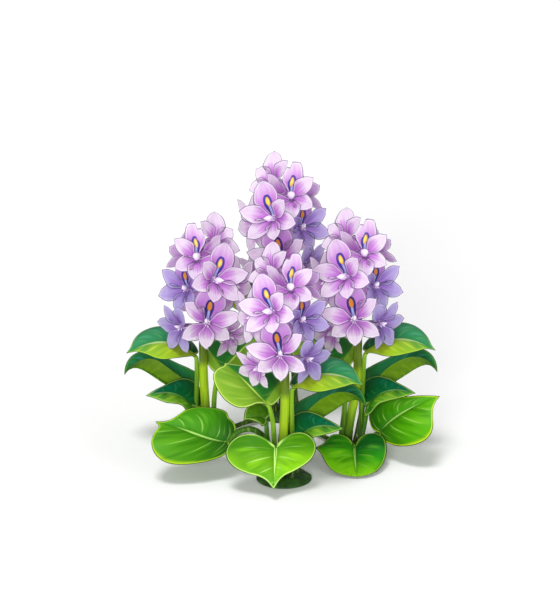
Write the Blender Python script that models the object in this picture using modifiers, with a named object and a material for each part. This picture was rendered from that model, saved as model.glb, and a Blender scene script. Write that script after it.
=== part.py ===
"""A clump of water hyacinth: four flowering rosettes, joined by runners along the ground.

Each rosette has a dark root crown that rests flat, a flower stalk with a spike of flowers,
and broad leaves on round leaf stalks. Lengths are written in millimetres, and mm() turns
them into metres. +X is to the right, +Y away from the front and +Z up. The origin is on the
ground, under the middle of the clump.
"""

import math
from collections import namedtuple

import bmesh
import bpy
from mathutils import Vector

# ---------------------------------------------------------------- driving dimensions (mm)

CLUMP = "water_hyacinth"  # the collection of the finished pieces
CUTTERS = "joined_shapes"  # the collection of shapes that are joined into them

MM = 0.001  # one millimetre in metres
WELD = 0.00001  # corners closer than this are one (metres)
GAP = 0.35  # clearance between two pieces that touch

CROWN_RADIUS = 30.5
CROWN_TOP_RADIUS = 17.0  # the flat middle, where the stalks stand
CROWN_HEIGHT = 6.0
CROWN_RIM = 1.5  # height and slope of the rim
CROWN_SIDES = 16

RUNNER_RADIUS = 2.6
RUNNER_HEIGHT = 3.2  # of its middle line, at both ends
RUNNER_ARCH = 2.0  # how much higher it is half way
RUNNER_BOW = 5.0  # how far it swings sideways half way
RUNNER_INSIDE = 6.0  # how far it starts inside its crown's rim
RUNNER_STEPS = 6

STALK_TOP = 232.0
SPIKE_START = 128.0  # height where the flowers begin
STALK_FOOT_RADIUS = 5.4
STALK_RINGS = ((12.0, 5.2), (45.0, 5.0), (90.0, 4.8))  # height and radius below the spike
STALK_NECK_RADIUS = 4.6  # at the start of the spike
STALK_SPIKE_RADIUS = 3.4
STALK_TOP_RADIUS = 2.2
STALK_TIP = (6.0, 0.8)  # length and end radius of the rounded tip
STALK_FOOT_X = -2.0  # the foot stands a little beside the crown's middle
STALK_HEAD_X = 1.0
STALK_Y = 2.0
STALK_BEND = (12.0, 97.0)  # heights between which it swings from foot to head

LEAF_THICKNESS = 1.3
LEAF_STALK_FOOT_RADIUS = 3.3
LEAF_STALK_NECK_RADIUS = 2.3
LEAF_STALK_RING = 13.0  # the leaf stalks stand in a ring of this radius on the crown
LEAF_STALK_UPRIGHT = 2.5  # the lowest stretch is upright, so that its end lies flat
LEAF_STALK_STEPS = 4
RIB_DEPTH = (1.2, 1.0)  # below the blade at the joint and where the rib ends
RIB_END = 0.22  # the rib runs on under this share of the blade
RIB_END_RADIUS = 0.8
BLADE_ROWS = 6
LOBE_ROWS = 0.4  # the share of the rows from the lobe to the widest place

PETALS = 6
PETAL_LENGTH = 41.0  # from the throat's middle, along the petal
PETAL_WIDTH = 21.0
BANNER_WIDTH = 25.0  # the top petal is the widest
PETAL_WIDEST = 0.62  # where, as a share of the length
PETAL_SHARES = (1.0, 1.0, 0.92, 0.82, 0.92, 1.0)  # lengths clockwise from the banner
PETAL_THICKNESS = 0.9
THROAT_RADIUS = 3.2
THROAT_REACH = 12.5  # the petals are joined into a funnel this far out
FUNNEL_ANGLE = 38.0  # degrees between the flower's axis and the funnel's wall
FUNNEL_SHARE = 0.45  # the petal bends over along this share of its length
CURL_BACK = 1.12  # its outer part stands this much further out than the flower's spread
TUBE_RADIUS = 1.7
TUBE_DROP = 6.0  # the tube leaves the stalk this much below the throat
TUBE_BELOW_TOP = 4.0  # and at least this much below the stalk's top
TUBE_CLEARANCE = 2.6  # between the stalk's side and the end of the tube
TUBE_INSIDE = 1.5  # from the stalk's middle to the end of a tube that is joined to it

# crown: where the rosette stands. lean and rise: how much further right and up its leaves
# and flowers are than on the front rosette. side: -1 for a mirrored rosette. size: of its
# flowers. runner: the rosette that its runner leads to.
ROSETTES = {
    "front": {"crown": (3.2, -108.7), "lean": 0.0, "rise": 0.0, "side": 1, "size": 0.98,
              "runner": "back"},
    "left": {"crown": (-85.2, -10.7), "lean": 0.0, "rise": 0.0, "side": -1, "size": 1.0,
             "runner": "back"},
    "right": {"crown": (75.8, -37.7), "lean": 7.5, "rise": 13.7, "side": 1, "size": 1.0,
              "runner": "back"},
    "back": {"crown": (4.4, 81.3), "lean": 0.0, "rise": 40.0, "side": 1, "size": 1.02,
             "runner": None},
}

# ---------------------------------------------------------------- leaves (mm, from the crown)
# root: angle on the crown's ring, in degrees from +X. stem: the two inner Bezier points of
# the leaf stalk. midrib: its four Bezier points, from the joint to the tip. facing: where
# the upper side looks. far and near: the half of the blade away from and towards the front.
# A half has its width, lobe (how far it reaches behind the joint, as a share of the length),
# widest (where, as a share), point (0 for a round end, 1 for a drawn-out one), and the
# degrees that it is folded up at the joint and at the tip.

Half = namedtuple("Half", "width lobe widest point fold_joint fold_tip", defaults=(0, 0))

UPPER = {
    "root": 20, "stem": ((10, 5, 45), (9, 4, 88)),
    "midrib": ((11, 2, 108), (32, 1, 128), (60, 0, 128), (85, -1, 110)),
    "facing": (0, -0.2, 1),
    "far": Half(34, 0.03, 0.60, 0.7), "near": Half(36, 0.01, 0.46, 0.7),
}
MIDDLE = {
    "root": 60, "stem": ((8, 18, 25), (8, 30, 41)),
    "midrib": ((15, 33, 52), (49, 31, 52), (75, 20, 106), (89, 10, 79)),
    "facing": (0, 0, 1),
    "far": Half(30, 0.10, 0.35, 0.7, 45, 45), "near": Half(24, -0.05, 0.55, 0.6, 60, 40),
}
LOWER = {
    "root": -50, "stem": ((12, -8, 18), (12, -7, 34)),
    "midrib": ((16, -4, 52), (27, -4, 63), (44, -4, 71), (65, -7, 62)),
    "facing": (0, -0.47, 0.88),
    "far": Half(26, -0.02, 0.28, 0.8), "near": Half(18, 0.0, 0.60, 0.5),
}
INNER = {
    "root": 202, "stem": ((-9, -6, 40), (-10, -12, 72)),
    "midrib": ((-17, -12, 92), (-32, -10, 95), (-55, -4, 108), (-75, 2, 122)),
    "facing": (0.1, -0.6, 0.8),
    "far": Half(26, 0.12, 0.35, 0.4, -10, -20), "near": Half(26, 0.04, 0.45, 0.2),
}
HEART = {
    "root": 250, "stem": ((-6, -12, 22), (-8, -24, 44)),
    "midrib": ((-9, -28, 49), (-9, -34, 40), (-11, -52, 24), (-11, -64, 14)),
    "facing": (0, -0.8, 0.6),
    "far": Half(48, 0.36, 0.18, 0.95, -5, -5), "near": Half(48, 0.36, 0.18, 0.95, -5, -5),
}
ARCHING = {
    "root": 138, "stem": ((-14, 6, 58), (-42, 8, 68)),
    "midrib": ((-60, 10, 40), (-80, 12, 36), (-108, 20, 53), (-138, 24, 57)),
    "facing": (0.05, -0.50, 0.86),
    "far": Half(38, 0.06, 0.30, 1.0), "near": Half(48, 0.02, 0.55, 0.35),
}
OUTER = {
    "root": -15, "stem": ((16, -5, 18), (24, -6, 24)),
    "midrib": ((32, -8, 28), (46, -10, 47), (68, -12, 64), (98, -14, 74)),
    "facing": (-0.27, -0.6, 0.7),
    "far": Half(34, 0.05, 0.28, 0.75), "near": Half(35, 0.02, 0.42, 0.9),
}
LOW_HEART = {
    "root": 272, "stem": ((3, -16, 18), (4, -22, 22)),
    "midrib": ((5, -26, 18), (5, -38, 11), (6, -56, 6), (7, -73, 3)),
    "facing": (0, -0.3, 0.95),
    "far": Half(36, 0.45, 0.15, 0.0, 6, 0), "near": Half(34, 0.45, 0.15, 0.0, 6, 0),
}
REAR = {
    "root": 100, "stem": ((2, 12, 45), (4, 22, 78)),
    "midrib": ((6, 34, 84), (8, 52, 100), (16, 84, 92), (18, 96, 62)),
    "facing": (0.1, 0.4, 0.9),
    "far": Half(36, 0.16, 0.36, 0.8), "near": Half(36, 0.16, 0.36, 0.8),
}
SHADED = {
    "root": 170, "stem": ((-16, 0, 30), (-20, -1, 55)),
    "midrib": ((-19, 4, 68), (-26, 4, 72), (-36, 3, 70), (-44, 0, 60)),
    "facing": (0.5, -0.5, 0.7),
    "far": Half(18, 0.10, 0.36, 0.6), "near": Half(20, 0.10, 0.36, 0.6),
}

# rosette: {leaf name: (form, whether it stands higher with the rosette's lean and rise)}
LEAVES = {
    "front": {"heart": (HEART, False), "arching": (ARCHING, False), "inner": (INNER, True),
              "upper": (UPPER, True), "middle": (MIDDLE, True), "lower": (LOWER, True),
              "shaded": (SHADED, False)},
    "left": {"inner": (INNER, True), "upper": (UPPER, True), "middle": (MIDDLE, True),
             "lower": (LOWER, True)},
    "right": {"heart": (LOW_HEART, False), "outer": (OUTER, False), "inner": (INNER, True),
              "upper": (UPPER, True), "middle": (MIDDLE, True), "lower": (LOWER, True)},
    "back": {"inner": (INNER, True), "upper": (UPPER, True), "rear": (REAR, False)},
}

# ---------------------------------------------------------------- flowers (mm, from the crown)
# throat: where the petals meet. facing: degrees to the right of the front and up from
# level. spin: degrees clockwise from the top to the banner petal, seen from the front.
# spread: degrees between the flower's axis and its petals' outer part. length: share of
# PETAL_LENGTH.

FLOWERS = {
    "top": {"throat": (7, -14, 224), "facing": (-4, 42), "spin": 4, "spread": 66,
            "length": 0.93},
    "upper": {"throat": (-11, -38, 208), "facing": (-34, 20), "spin": -24, "spread": 66,
              "length": 1.0},
    "side": {"throat": (17, -13, 189), "facing": (42, 10), "spin": -8, "spread": 66,
             "length": 0.90},
    "centre": {"throat": (-4, -36, 158), "facing": (-4, 10), "spin": -4, "spread": 68,
               "length": 0.92},
    "outer": {"throat": (23, -17, 147), "facing": (42, -9), "spin": -22, "spread": 66,
              "length": 0.82},
    "lowest": {"throat": (-30, -18, 137), "facing": (-60, -10), "spin": 20, "spread": 60,
               "length": 0.74},
    "rear": {"throat": (-26, 4, 187), "facing": (-88, 2), "spin": 12, "spread": 70,
             "length": 0.95},
    "crest": {"throat": (-12, 18.5, 231.5), "facing": (-46, 35), "spin": -10, "spread": 66,
              "length": 0.92},
}
JOINED_FLOWERS = {
    "high": {"throat": (15, 16, 216), "facing": (135, 20), "spin": 0, "spread": 66,
             "length": 0.80},
    "low": {"throat": (2, 22, 164), "facing": (175, 5), "spin": 0, "spread": 66,
            "length": 0.86},
}  # the two at the spike's back, which are one piece with the stalk

# ---------------------------------------------------------------- colours (linear RGB)

FINISHES = {  # part: colour and roughness
    "leaf": ((0.12, 0.36, 0.03), 0.35),
    "stalk": ((0.32, 0.50, 0.03), 0.40),
    "crown": ((0.010, 0.040, 0.005), 0.60),
    "petal": ((0.72, 0.50, 0.82), 0.50),
}

# ---------------------------------------------------------------- helpers


def mm(*values):
    """A point given in millimetres, in metres."""
    return Vector(values) * MM


def bezier(points, t):
    """The point at t (0 to 1) of the cubic Bezier curve through four points."""
    a, b, c, d = (Vector(point) for point in points)
    s = 1 - t
    return a * s**3 + b * 3 * s * s * t + c * 3 * s * t * t + d * t**3


def bezier_slope(points, t):
    """The direction and speed of the same curve at t."""
    a, b, c, d = (Vector(point) for point in points)
    s = 1 - t
    return ((b - a) * s * s + (c - b) * 2 * s * t + (d - c) * t * t) * 3


def mix(start, end, share):
    return start + (end - start) * share


def lift_of(rosette):
    """How much further right and up the rosette's high leaves and its flowers stand (mm)."""
    return Vector((rosette["lean"], 0, rosette["rise"]))


def make_collection(name):
    made = bpy.data.collections.new(name)
    bpy.context.scene.collection.children.link(made)
    return made


def make_material(name):
    colour, roughness = FINISHES[name]
    made = bpy.data.materials.new(name)
    made.use_nodes = True
    shader = made.node_tree.nodes["Principled BSDF"]
    shader.inputs["Base Color"].default_value = (*colour, 1)
    shader.inputs["Roughness"].default_value = roughness
    shader.inputs["Metallic"].default_value = 0
    return made


def new_object(name, data, finish, home):
    """The named object of the mesh or curve, in the clump, on its rosette's empty."""
    made = bpy.data.objects.new(name, data)
    bpy.data.collections[CLUMP].objects.link(made)
    made.parent = home
    if not data.materials:
        data.materials.append(bpy.data.materials[finish])
    return made


def mesh_of(curve_object):
    """The curve object as a mesh object of the same name, with its caps welded."""
    bpy.context.view_layer.update()
    graph = bpy.context.evaluated_depsgraph_get()
    mesh = bpy.data.meshes.new_from_object(curve_object.evaluated_get(graph))
    cleaned = bmesh.new()
    cleaned.from_mesh(mesh)
    bmesh.ops.remove_doubles(cleaned, verts=cleaned.verts, dist=WELD)
    bmesh.ops.recalc_face_normals(cleaned, faces=cleaned.faces)
    cleaned.to_mesh(mesh)
    cleaned.free()
    name, home = curve_object.name, curve_object.parent
    bpy.data.objects.remove(curve_object)
    return new_object(name, mesh, None, home)


def tube(name, points, radii, finish, home, resolution=1):
    """A round stem through points with its own radius at each (mm), as a mesh object."""
    curve = bpy.data.curves.new(name, "CURVE")
    curve.dimensions = "3D"
    curve.bevel_depth = MM
    curve.bevel_resolution = resolution
    curve.use_fill_caps = True
    spline = curve.splines.new("POLY")
    spline.points.add(len(points) - 1)
    for dot, place, radius in zip(spline.points, points, radii):
        dot.co = (*mm(*place), 1)
        dot.radius = radius
    return mesh_of(new_object(name, curve, finish, home))


def join(main, other):
    """Adds the object other to main by a Boolean union, and hides it as a cutter."""
    union = main.modifiers.new("Join " + other.name, "BOOLEAN")
    union.operation = "UNION"
    union.object = other
    other.hide_render = True
    other.display_type = "WIRE"
    bpy.data.collections[CLUMP].objects.unlink(other)
    bpy.data.collections[CUTTERS].objects.link(other)


# ---------------------------------------------------------------- crown and flower stalk


def make_crown(name, home):
    """The root crown: a low dark dome, flat underneath, on which the rosette rests."""
    profile = [(0, CROWN_HEIGHT), (CROWN_TOP_RADIUS, CROWN_HEIGHT), (CROWN_RADIUS, CROWN_RIM),
               (CROWN_RADIUS - CROWN_RIM, 0), (0, 0)]
    mesh = bpy.data.meshes.new(name)
    mesh.from_pydata([mm(x, 0, z) for x, z in profile],
                     [(i, i + 1) for i in range(len(profile) - 1)], [])
    crown = new_object(name, mesh, "crown", home)
    turn = crown.modifiers.new("Turn", "SCREW")
    turn.steps = turn.render_steps = CROWN_SIDES
    turn.use_merge_vertices = True
    turn.merge_threshold = WELD
    turn.use_smooth_shade = False
    return crown


def runner_points(way):
    """A runner along the ground, from inside this crown to just short of the next one.

    way: from this crown's middle to the other's, on the ground."""
    end = Vector((*way, 0))
    along = end.normalized()
    sideways = Vector((-along.y, along.x, 0))
    first = along * (CROWN_RADIUS - RUNNER_INSIDE)
    last = end - along * (CROWN_RADIUS + 2 * GAP)
    points = []
    for i in range(RUNNER_STEPS + 1):
        t = i / RUNNER_STEPS
        swell = math.sin(math.pi * t)
        height = Vector((0, 0, RUNNER_HEIGHT + RUNNER_ARCH * swell))
        points.append(first.lerp(last, t) + sideways * RUNNER_BOW * swell + height)
    return points


def add_runner(crown, name, rosette, home):
    way = Vector(ROSETTES[rosette["runner"]]["crown"]) - Vector(rosette["crown"])
    points = runner_points(way)
    join(crown, tube(name, points, [RUNNER_RADIUS] * len(points), "crown", home))


def stalk_point(rosette, height):
    """The middle of the flower stalk at a height (mm)."""
    foot = STALK_FOOT_X * rosette["side"]
    head = STALK_HEAD_X * rosette["side"] + rosette["lean"]
    low, high = STALK_BEND
    bend = min(max((height - low) / (high - low), 0.0), 1.0)
    return Vector((mix(foot, head, bend * bend * (3 - 2 * bend)), STALK_Y, height))


def make_stalk(name, rosette, home):
    """The leaning stalk, in one piece with the two flowers at its back."""
    top = STALK_TOP + rosette["rise"]
    start = SPIKE_START + rosette["rise"]
    tip_length, tip_radius = STALK_TIP
    rings = [(CROWN_HEIGHT + GAP, STALK_FOOT_RADIUS), *STALK_RINGS, (start, STALK_NECK_RADIUS),
             ((start + top) / 2, STALK_SPIKE_RADIUS), (top - tip_length, STALK_TOP_RADIUS),
             (top, tip_radius)]
    stalk = tube(name, [stalk_point(rosette, height) for height, radius in rings],
                 [radius for height, radius in rings], "stalk", home, resolution=2)
    for flower_name, form in JOINED_FLOWERS.items():
        foot = flower_foot(form, rosette, TUBE_INSIDE)
        join(stalk, make_flower(f"{name}_flower_{flower_name}", form, rosette, foot, home))


# ---------------------------------------------------------------- leaves


def placed(form, rosette, raised):
    """The leaf form in this rosette: mirrored, and stood as high and as far over as it is."""
    side = rosette["side"]
    lift = lift_of(rosette) if raised else Vector()

    def move(point, share=1.0):
        return Vector((point[0] * side, point[1], point[2])) + lift * share

    angle = math.radians(form["root"])
    foot = Vector((math.cos(angle) * side, math.sin(angle), 0)) * LEAF_STALK_RING
    foot.z = CROWN_HEIGHT + GAP
    low, high = form["stem"]
    midrib = [move(point) for point in form["midrib"]]
    facing = Vector(form["facing"])
    left = facing.cross(Vector(form["midrib"][-1]) - Vector(form["midrib"][0]))
    halves = [form["far"], form["near"]]
    if (left.y < 0) != (side < 0):
        halves.reverse()
    return {
        "stem": [foot, move(low, 0.5), move(high), midrib[0]],
        "midrib": midrib,
        "facing": Vector((facing.x * side, facing.y, facing.z)).normalized(),
        "halves": halves,  # on the left and on the right of the midrib
    }


def edge_of(half, t):
    """The edge of the flat half blade at t, 0 at the back of the lobe and 1 at the tip.

    Returns (along, across): along in lengths from the joint, across in half widths."""
    lobe, widest, point = half.lobe, half.widest, half.point
    back = 0.55 if lobe > 0.02 else 0.2  # a heart shape starts wide, a plain one narrow
    if t < LOBE_ROWS:
        corners = [(-lobe, back), (-lobe, mix(back, 1.0, 0.6)),
                   (mix(widest, -lobe, 0.6), 1.0), (widest, 1.0)]
        share = t / LOBE_ROWS
    else:
        corners = [(widest, 1.0), (mix(widest, 1.0, 0.5), 1.0),
                   (1.0 - 0.36 * point, 0.55 - 0.28 * point), (1.0, 0.0)]
        share = (t - LOBE_ROWS) / (1 - LOBE_ROWS)
    return bezier([(*corner, 0) for corner in corners], share)[:2]


def blade_point(leaf, along, across):
    """The place (mm) of a point of the blade: on the midrib's curve, then out on its fold.

    across runs from -1 to 1 in half widths, with the left half positive."""
    t = min(max(along, 0.0), 1.0)
    midrib = leaf["midrib"]
    tangent = bezier_slope(midrib, t).normalized()
    spine = bezier(midrib, t) + tangent * (along - t) * (midrib[-1] - midrib[0]).length
    normal = (leaf["facing"] - tangent * leaf["facing"].dot(tangent)).normalized()
    half = leaf["halves"][0 if across > 0 else 1]
    fold = math.radians(mix(half.fold_joint, half.fold_tip, t))
    outward = normal.cross(tangent) * math.copysign(1, across)
    return spine + (outward * math.cos(fold) + normal * math.sin(fold)) * abs(across) * half.width


def blade_mesh(name, leaf):
    """The blade as an open sheet: a row of left edge, midrib and right edge at each step."""
    sheet = bmesh.new()
    rows = []
    for i in range(BLADE_ROWS + 1):
        t = i / BLADE_ROWS
        left_along, left_across = edge_of(leaf["halves"][0], t)
        right_along, right_across = edge_of(leaf["halves"][1], t)
        places = [blade_point(leaf, right_along, -right_across), blade_point(leaf, t, 0.0),
                  blade_point(leaf, left_along, left_across)]
        rows.append([sheet.verts.new(place * MM) for place in places])
    for low, high in zip(rows, rows[1:]):
        for j in range(2):
            sheet.faces.new((low[j], low[j + 1], high[j + 1], high[j]))
    bmesh.ops.remove_doubles(sheet, verts=sheet.verts, dist=WELD)
    mesh = bpy.data.meshes.new(name)
    sheet.to_mesh(mesh)
    sheet.free()
    return mesh


def make_leaf(name, leaf, home):
    """A blade of even thickness on its round stalk, which runs on under the midrib as a rib."""
    blade = new_object(name, blade_mesh(name, leaf), "leaf", home)
    thicken = blade.modifiers.new("Thickness", "SOLIDIFY")
    thicken.thickness = LEAF_THICKNESS * MM
    thicken.offset = 1
    steps = [i / LEAF_STALK_STEPS for i in range(LEAF_STALK_STEPS + 1)]
    points = [bezier(leaf["stem"], t) for t in steps]
    radii = [mix(LEAF_STALK_FOOT_RADIUS, LEAF_STALK_NECK_RADIUS, t) for t in steps]
    points[0].z += LEAF_STALK_UPRIGHT
    points[-1] -= leaf["facing"] * RIB_DEPTH[0]
    points.insert(0, leaf["stem"][0])
    radii.insert(0, LEAF_STALK_FOOT_RADIUS)
    points.append(blade_point(leaf, RIB_END, 0.0) - leaf["facing"] * RIB_DEPTH[1])
    radii.append(RIB_END_RADIUS)
    join(blade, tube(name + "_stem", points, radii, "leaf", home))


# ---------------------------------------------------------------- flowers


def throat_of(form, rosette):
    """The middle of the flower, where its petals meet (mm)."""
    x, y, z = form["throat"]
    return Vector((x * rosette["side"], y, z)) + lift_of(rosette)


def flower_axes(form, side):
    """The flower's axis, its banner's direction and the direction to the banner's right."""
    turn, tilt = (math.radians(angle) for angle in form["facing"])
    axis = Vector((math.sin(turn) * math.cos(tilt) * side, -math.cos(turn) * math.cos(tilt),
                   math.sin(tilt)))
    level = Vector((0, 0, 1)).cross(axis).normalized()
    spin = math.radians(form["spin"]) * side
    banner = axis.cross(level) * math.cos(spin) + level * math.sin(spin)
    return axis, banner, banner.cross(axis)


def petal_path(along, length, spread):
    """How far out from the axis and how far forward a petal's middle is, at along (0 to 1)."""
    out, ahead, steps = THROAT_RADIUS, 0.0, 24
    for i in range(steps):
        t = (i + 0.5) / steps
        if t > along:
            break
        angle = math.radians(mix(FUNNEL_ANGLE, spread * CURL_BACK, min(t / FUNNEL_SHARE, 1.0)))
        out += math.sin(angle) * length / steps
        ahead += math.cos(angle) * length / steps
    return out, ahead


def make_flower(name, form, rosette, foot, home):
    """Six petals joined in a funnel, whose tube runs back to foot, beside the flower stalk."""
    throat = throat_of(form, rosette)
    axis, banner, right = flower_axes(form, rosette["side"])
    scale = form["length"] * rosette["size"]
    length = PETAL_LENGTH * scale - THROAT_RADIUS
    sheet = bmesh.new()

    def vertex(centre, angle, out, ahead=0.0):
        way = banner * math.cos(angle) + right * math.sin(angle)
        return sheet.verts.new((centre + way * out + axis * ahead) * MM)

    step = 2 * math.pi / PETALS
    notch = petal_path(THROAT_REACH / PETAL_LENGTH, length, form["spread"])
    notches = [vertex(throat, (i - 0.5) * step, *notch) for i in range(PETALS)]
    tube_end = [vertex(foot, (i - 0.5) * step, TUBE_RADIUS) for i in range(PETALS)]
    for i, share in enumerate(PETAL_SHARES):
        after = (i + 1) % PETALS
        widest = petal_path(PETAL_WIDEST * share, length, form["spread"])
        width = (BANNER_WIDTH if i == 0 else PETAL_WIDTH) * scale
        half_angle = width / 2 / widest[0]
        left_side = vertex(throat, i * step - half_angle, *widest)
        right_side = vertex(throat, i * step + half_angle, *widest)
        tip = vertex(throat, i * step, *petal_path(share, length, form["spread"]))
        sheet.faces.new((tube_end[i], tube_end[after], notches[after], notches[i]))
        sheet.faces.new((notches[i], notches[after], right_side, left_side))
        sheet.faces.new((left_side, right_side, tip))
    sheet.faces.new(tube_end)
    bmesh.ops.recalc_face_normals(sheet, faces=sheet.faces)
    mesh = bpy.data.meshes.new(name)
    sheet.to_mesh(mesh)
    sheet.free()
    flower = new_object(name, mesh, "petal", home)
    thicken = flower.modifiers.new("Thickness", "SOLIDIFY")
    thicken.thickness = PETAL_THICKNESS * MM
    thicken.offset = 0
    return flower


def flower_foot(form, rosette, distance):
    """Where the flower's tube ends: this far from the middle of the flower stalk (mm)."""
    throat = throat_of(form, rosette)
    height = min(throat.z - TUBE_DROP, STALK_TOP + rosette["rise"] - TUBE_BELOW_TOP)
    core = stalk_point(rosette, height)
    outward = Vector((throat.x - core.x, throat.y - core.y, 0)).normalized()
    return core + outward * distance


# ---------------------------------------------------------------- the clump


def make_rosette(name, rosette):
    home = bpy.data.objects.new(name + "_rosette", None)
    home.location = mm(*rosette["crown"], 0)
    bpy.data.collections[CLUMP].objects.link(home)
    crown = make_crown(name + "_crown", home)
    if rosette["runner"]:
        add_runner(crown, name + "_runner", rosette, home)
    make_stalk(name + "_stalk", rosette, home)
    for leaf_name, (form, raised) in LEAVES[name].items():
        make_leaf(f"{name}_leaf_{leaf_name}", placed(form, rosette, raised), home)
    for flower_name, form in FLOWERS.items():
        foot = flower_foot(form, rosette, STALK_NECK_RADIUS + TUBE_CLEARANCE)
        make_flower(f"{name}_flower_{flower_name}", form, rosette, foot, home)


def main():
    for old in list(bpy.data.objects):
        bpy.data.objects.remove(old)
    make_collection(CLUMP)
    make_collection(CUTTERS)
    for finish in FINISHES:
        make_material(finish)
    for name, rosette in ROSETTES.items():
        make_rosette(name, rosette)


main()
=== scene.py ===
# %% [markdown]
# # A clump of water hyacinth
# Four flowering rosettes of one plant stand close together on a pale floor. Each has a dark
# root crown, broad waxy leaves on round leaf stalks, and a thick stalk that carries a spike of
# lilac flowers with a yellow eye on the top petal. The plain solids of the frame give every
# piece its place. This lesson dresses each of them: it makes the leaf, petal and stalk shapes
# from a few measures, and their colours from what grows in them.

# %% Load the frame
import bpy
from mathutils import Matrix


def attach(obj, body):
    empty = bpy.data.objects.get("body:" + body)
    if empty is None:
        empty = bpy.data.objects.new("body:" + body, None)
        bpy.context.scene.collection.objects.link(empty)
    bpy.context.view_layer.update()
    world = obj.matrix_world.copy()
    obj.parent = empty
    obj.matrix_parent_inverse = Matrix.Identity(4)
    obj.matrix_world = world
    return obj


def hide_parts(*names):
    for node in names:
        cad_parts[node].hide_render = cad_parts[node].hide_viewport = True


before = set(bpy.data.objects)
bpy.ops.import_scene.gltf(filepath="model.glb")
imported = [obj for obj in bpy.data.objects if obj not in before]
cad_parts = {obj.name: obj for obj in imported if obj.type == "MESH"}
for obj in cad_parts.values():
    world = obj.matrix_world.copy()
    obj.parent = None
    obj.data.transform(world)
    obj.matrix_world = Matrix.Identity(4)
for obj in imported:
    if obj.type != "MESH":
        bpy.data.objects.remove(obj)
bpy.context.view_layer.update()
print(len(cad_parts), "solids in the frame")

# %% [markdown]
# The frame is in metres and a plant is measured in millimetres, so places are worked out in
# millimetres here and turned at the last moment.

# %% Modules and units
import math
import random
from collections import namedtuple

import bmesh
import bpy
import numpy as np
from mathutils import Matrix, Vector

MM = 0.001  # one millimetre in metres
WELD = 1e-6  # points closer than this are one (metres)

# %% [markdown]
# ## Small helpers
# Colours are written as the hex codes that a painter's picker shows, which are sRGB. Blender's
# shaders want linear light, so one function turns them. Another adds a node to a tree with its
# settings and links, so that a material reads from top to bottom like a recipe.


# %% Colours and nodes
def linear(code):
    """An sRGB hex colour as linear red, green, blue and alpha."""
    parts = [int(code[i:i + 2], 16) / 255 for i in (1, 3, 5)]
    return (*[p / 12.92 if p <= 0.04045 else ((p + 0.055) / 1.055) ** 2.4 for p in parts], 1.0)


def set_stops(colour_ramp, stops):
    """Gives a colour ramp its (place, hex colour) stops."""
    while len(colour_ramp.elements) < len(stops):
        colour_ramp.elements.new(0.5)
    for element, (place, code) in zip(colour_ramp.elements, stops):
        element.position = place
        element.color = linear(code)


def give(tree, socket, value):
    """Links a socket to another, or sets its value. A hex colour becomes linear."""
    if isinstance(value, bpy.types.NodeSocket):
        tree.links.new(value, socket)
    elif isinstance(value, str) and value.startswith("#"):
        socket.default_value = linear(value)
    else:
        socket.default_value = value


def add(tree, kind, *values, result=None, stops=(), **settings):
    """Adds a node and gives its result: the named one, or else the first that it shows.

    settings are its properties. values go to the inputs that it shows, from the top, and a dict
    at their end goes to its inputs by name."""
    node = tree.nodes.new(kind)
    for name, value in settings.items():
        setattr(node, name, value)
    if stops:
        set_stops(node.color_ramp, stops)
    by_name = values[-1] if values and isinstance(values[-1], dict) else {}
    shown = [socket for socket in node.inputs if socket.enabled]
    for socket, value in zip(shown, values[:-1] if by_name else values):
        give(tree, socket, value)
    for name, value in by_name.items():
        give(tree, node.inputs[name], value)
    if result:
        return node.outputs[result]
    return next((socket for socket in node.outputs if socket.enabled), None)


print("node helpers ready")

# %% [markdown]
# A painter does one thing over and over: lay a tint over the colour below, strongly here and
# weakly there. Where it lies is the overlap of a few zones with soft edges, such as near the
# margin and far from the joint. Every living skin here is painted in this way, and then gets its
# gloss and a fine relief.

# %% Tints and materials
Zone = namedtuple("Zone", "value start full most least", defaults=(1.0, 0.0))


def strength(tree, *zones):
    """How strong a tint is at a place, which is the product of its zones.

    A zone is a number, a socket, or the fields of a Zone: a value, where the tint starts and
    where it is full, and its most and least."""
    share = None
    for zone in zones:
        if isinstance(zone, tuple):
            value, start, full, most, least = Zone(*zone)
            zone = add(tree, "ShaderNodeMapRange", value, start, full, least, most,
                       interpolation_type="SMOOTHSTEP")
        if share is None:
            share = zone
        else:
            share = add(tree, "ShaderNodeMath", share, zone, operation="MULTIPLY")
    return share


def tint(tree, below, over, *zones):
    """The colour below, with the other laid over it where the zones are."""
    return add(tree, "ShaderNodeMix", strength(tree, *zones), below, over, data_type="RGBA")


def new_material(name):
    made = bpy.data.materials.new(name)
    made.use_nodes = True
    return made, made.node_tree


def finish_material(made, inputs, height=None, strongly=1.0, deep=0.0):
    """Sets or links the shader's inputs, and gives it a relief that is so strong and so deep
    (mm) if it has a height."""
    tree = made.node_tree
    if height:
        bump = add(tree, "ShaderNodeBump", {"Height": height, "Strength": strongly, "Distance": deep * MM})
        inputs = {**inputs, "Normal": bump}
    for name, value in inputs.items():
        give(tree, tree.nodes["Principled BSDF"].inputs[name], value)
    return made


print("painting helpers ready")

# %% [markdown]
# ## Curves by formula
# A midrib, a stalk and a flower tube are smooth curves through space, and four points are enough
# to give one. An outline is a list of measured points with a smooth curve through them. Blender
# has both as curve objects, but here the shapes are worked out place by place, so a few short
# formulas are simpler.


# %% Curves
def mix(start, end, share):
    return start + (end - start) * share


def bezier(points, t):
    """The point at t (0 to 1) of the cubic Bezier curve through four points."""
    a, b, c, d = (Vector(point) for point in points)
    s = 1 - t
    return a * s**3 + b * 3 * s * s * t + c * 3 * s * t * t + d * t**3


def bezier_slope(points, t):
    """Which way that curve runs at t, and how fast."""
    a, b, c, d = (Vector(point) for point in points)
    s = 1 - t
    return ((b - a) * s * s + (c - b) * 2 * s * t + (d - c) * t * t) * 3


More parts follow.
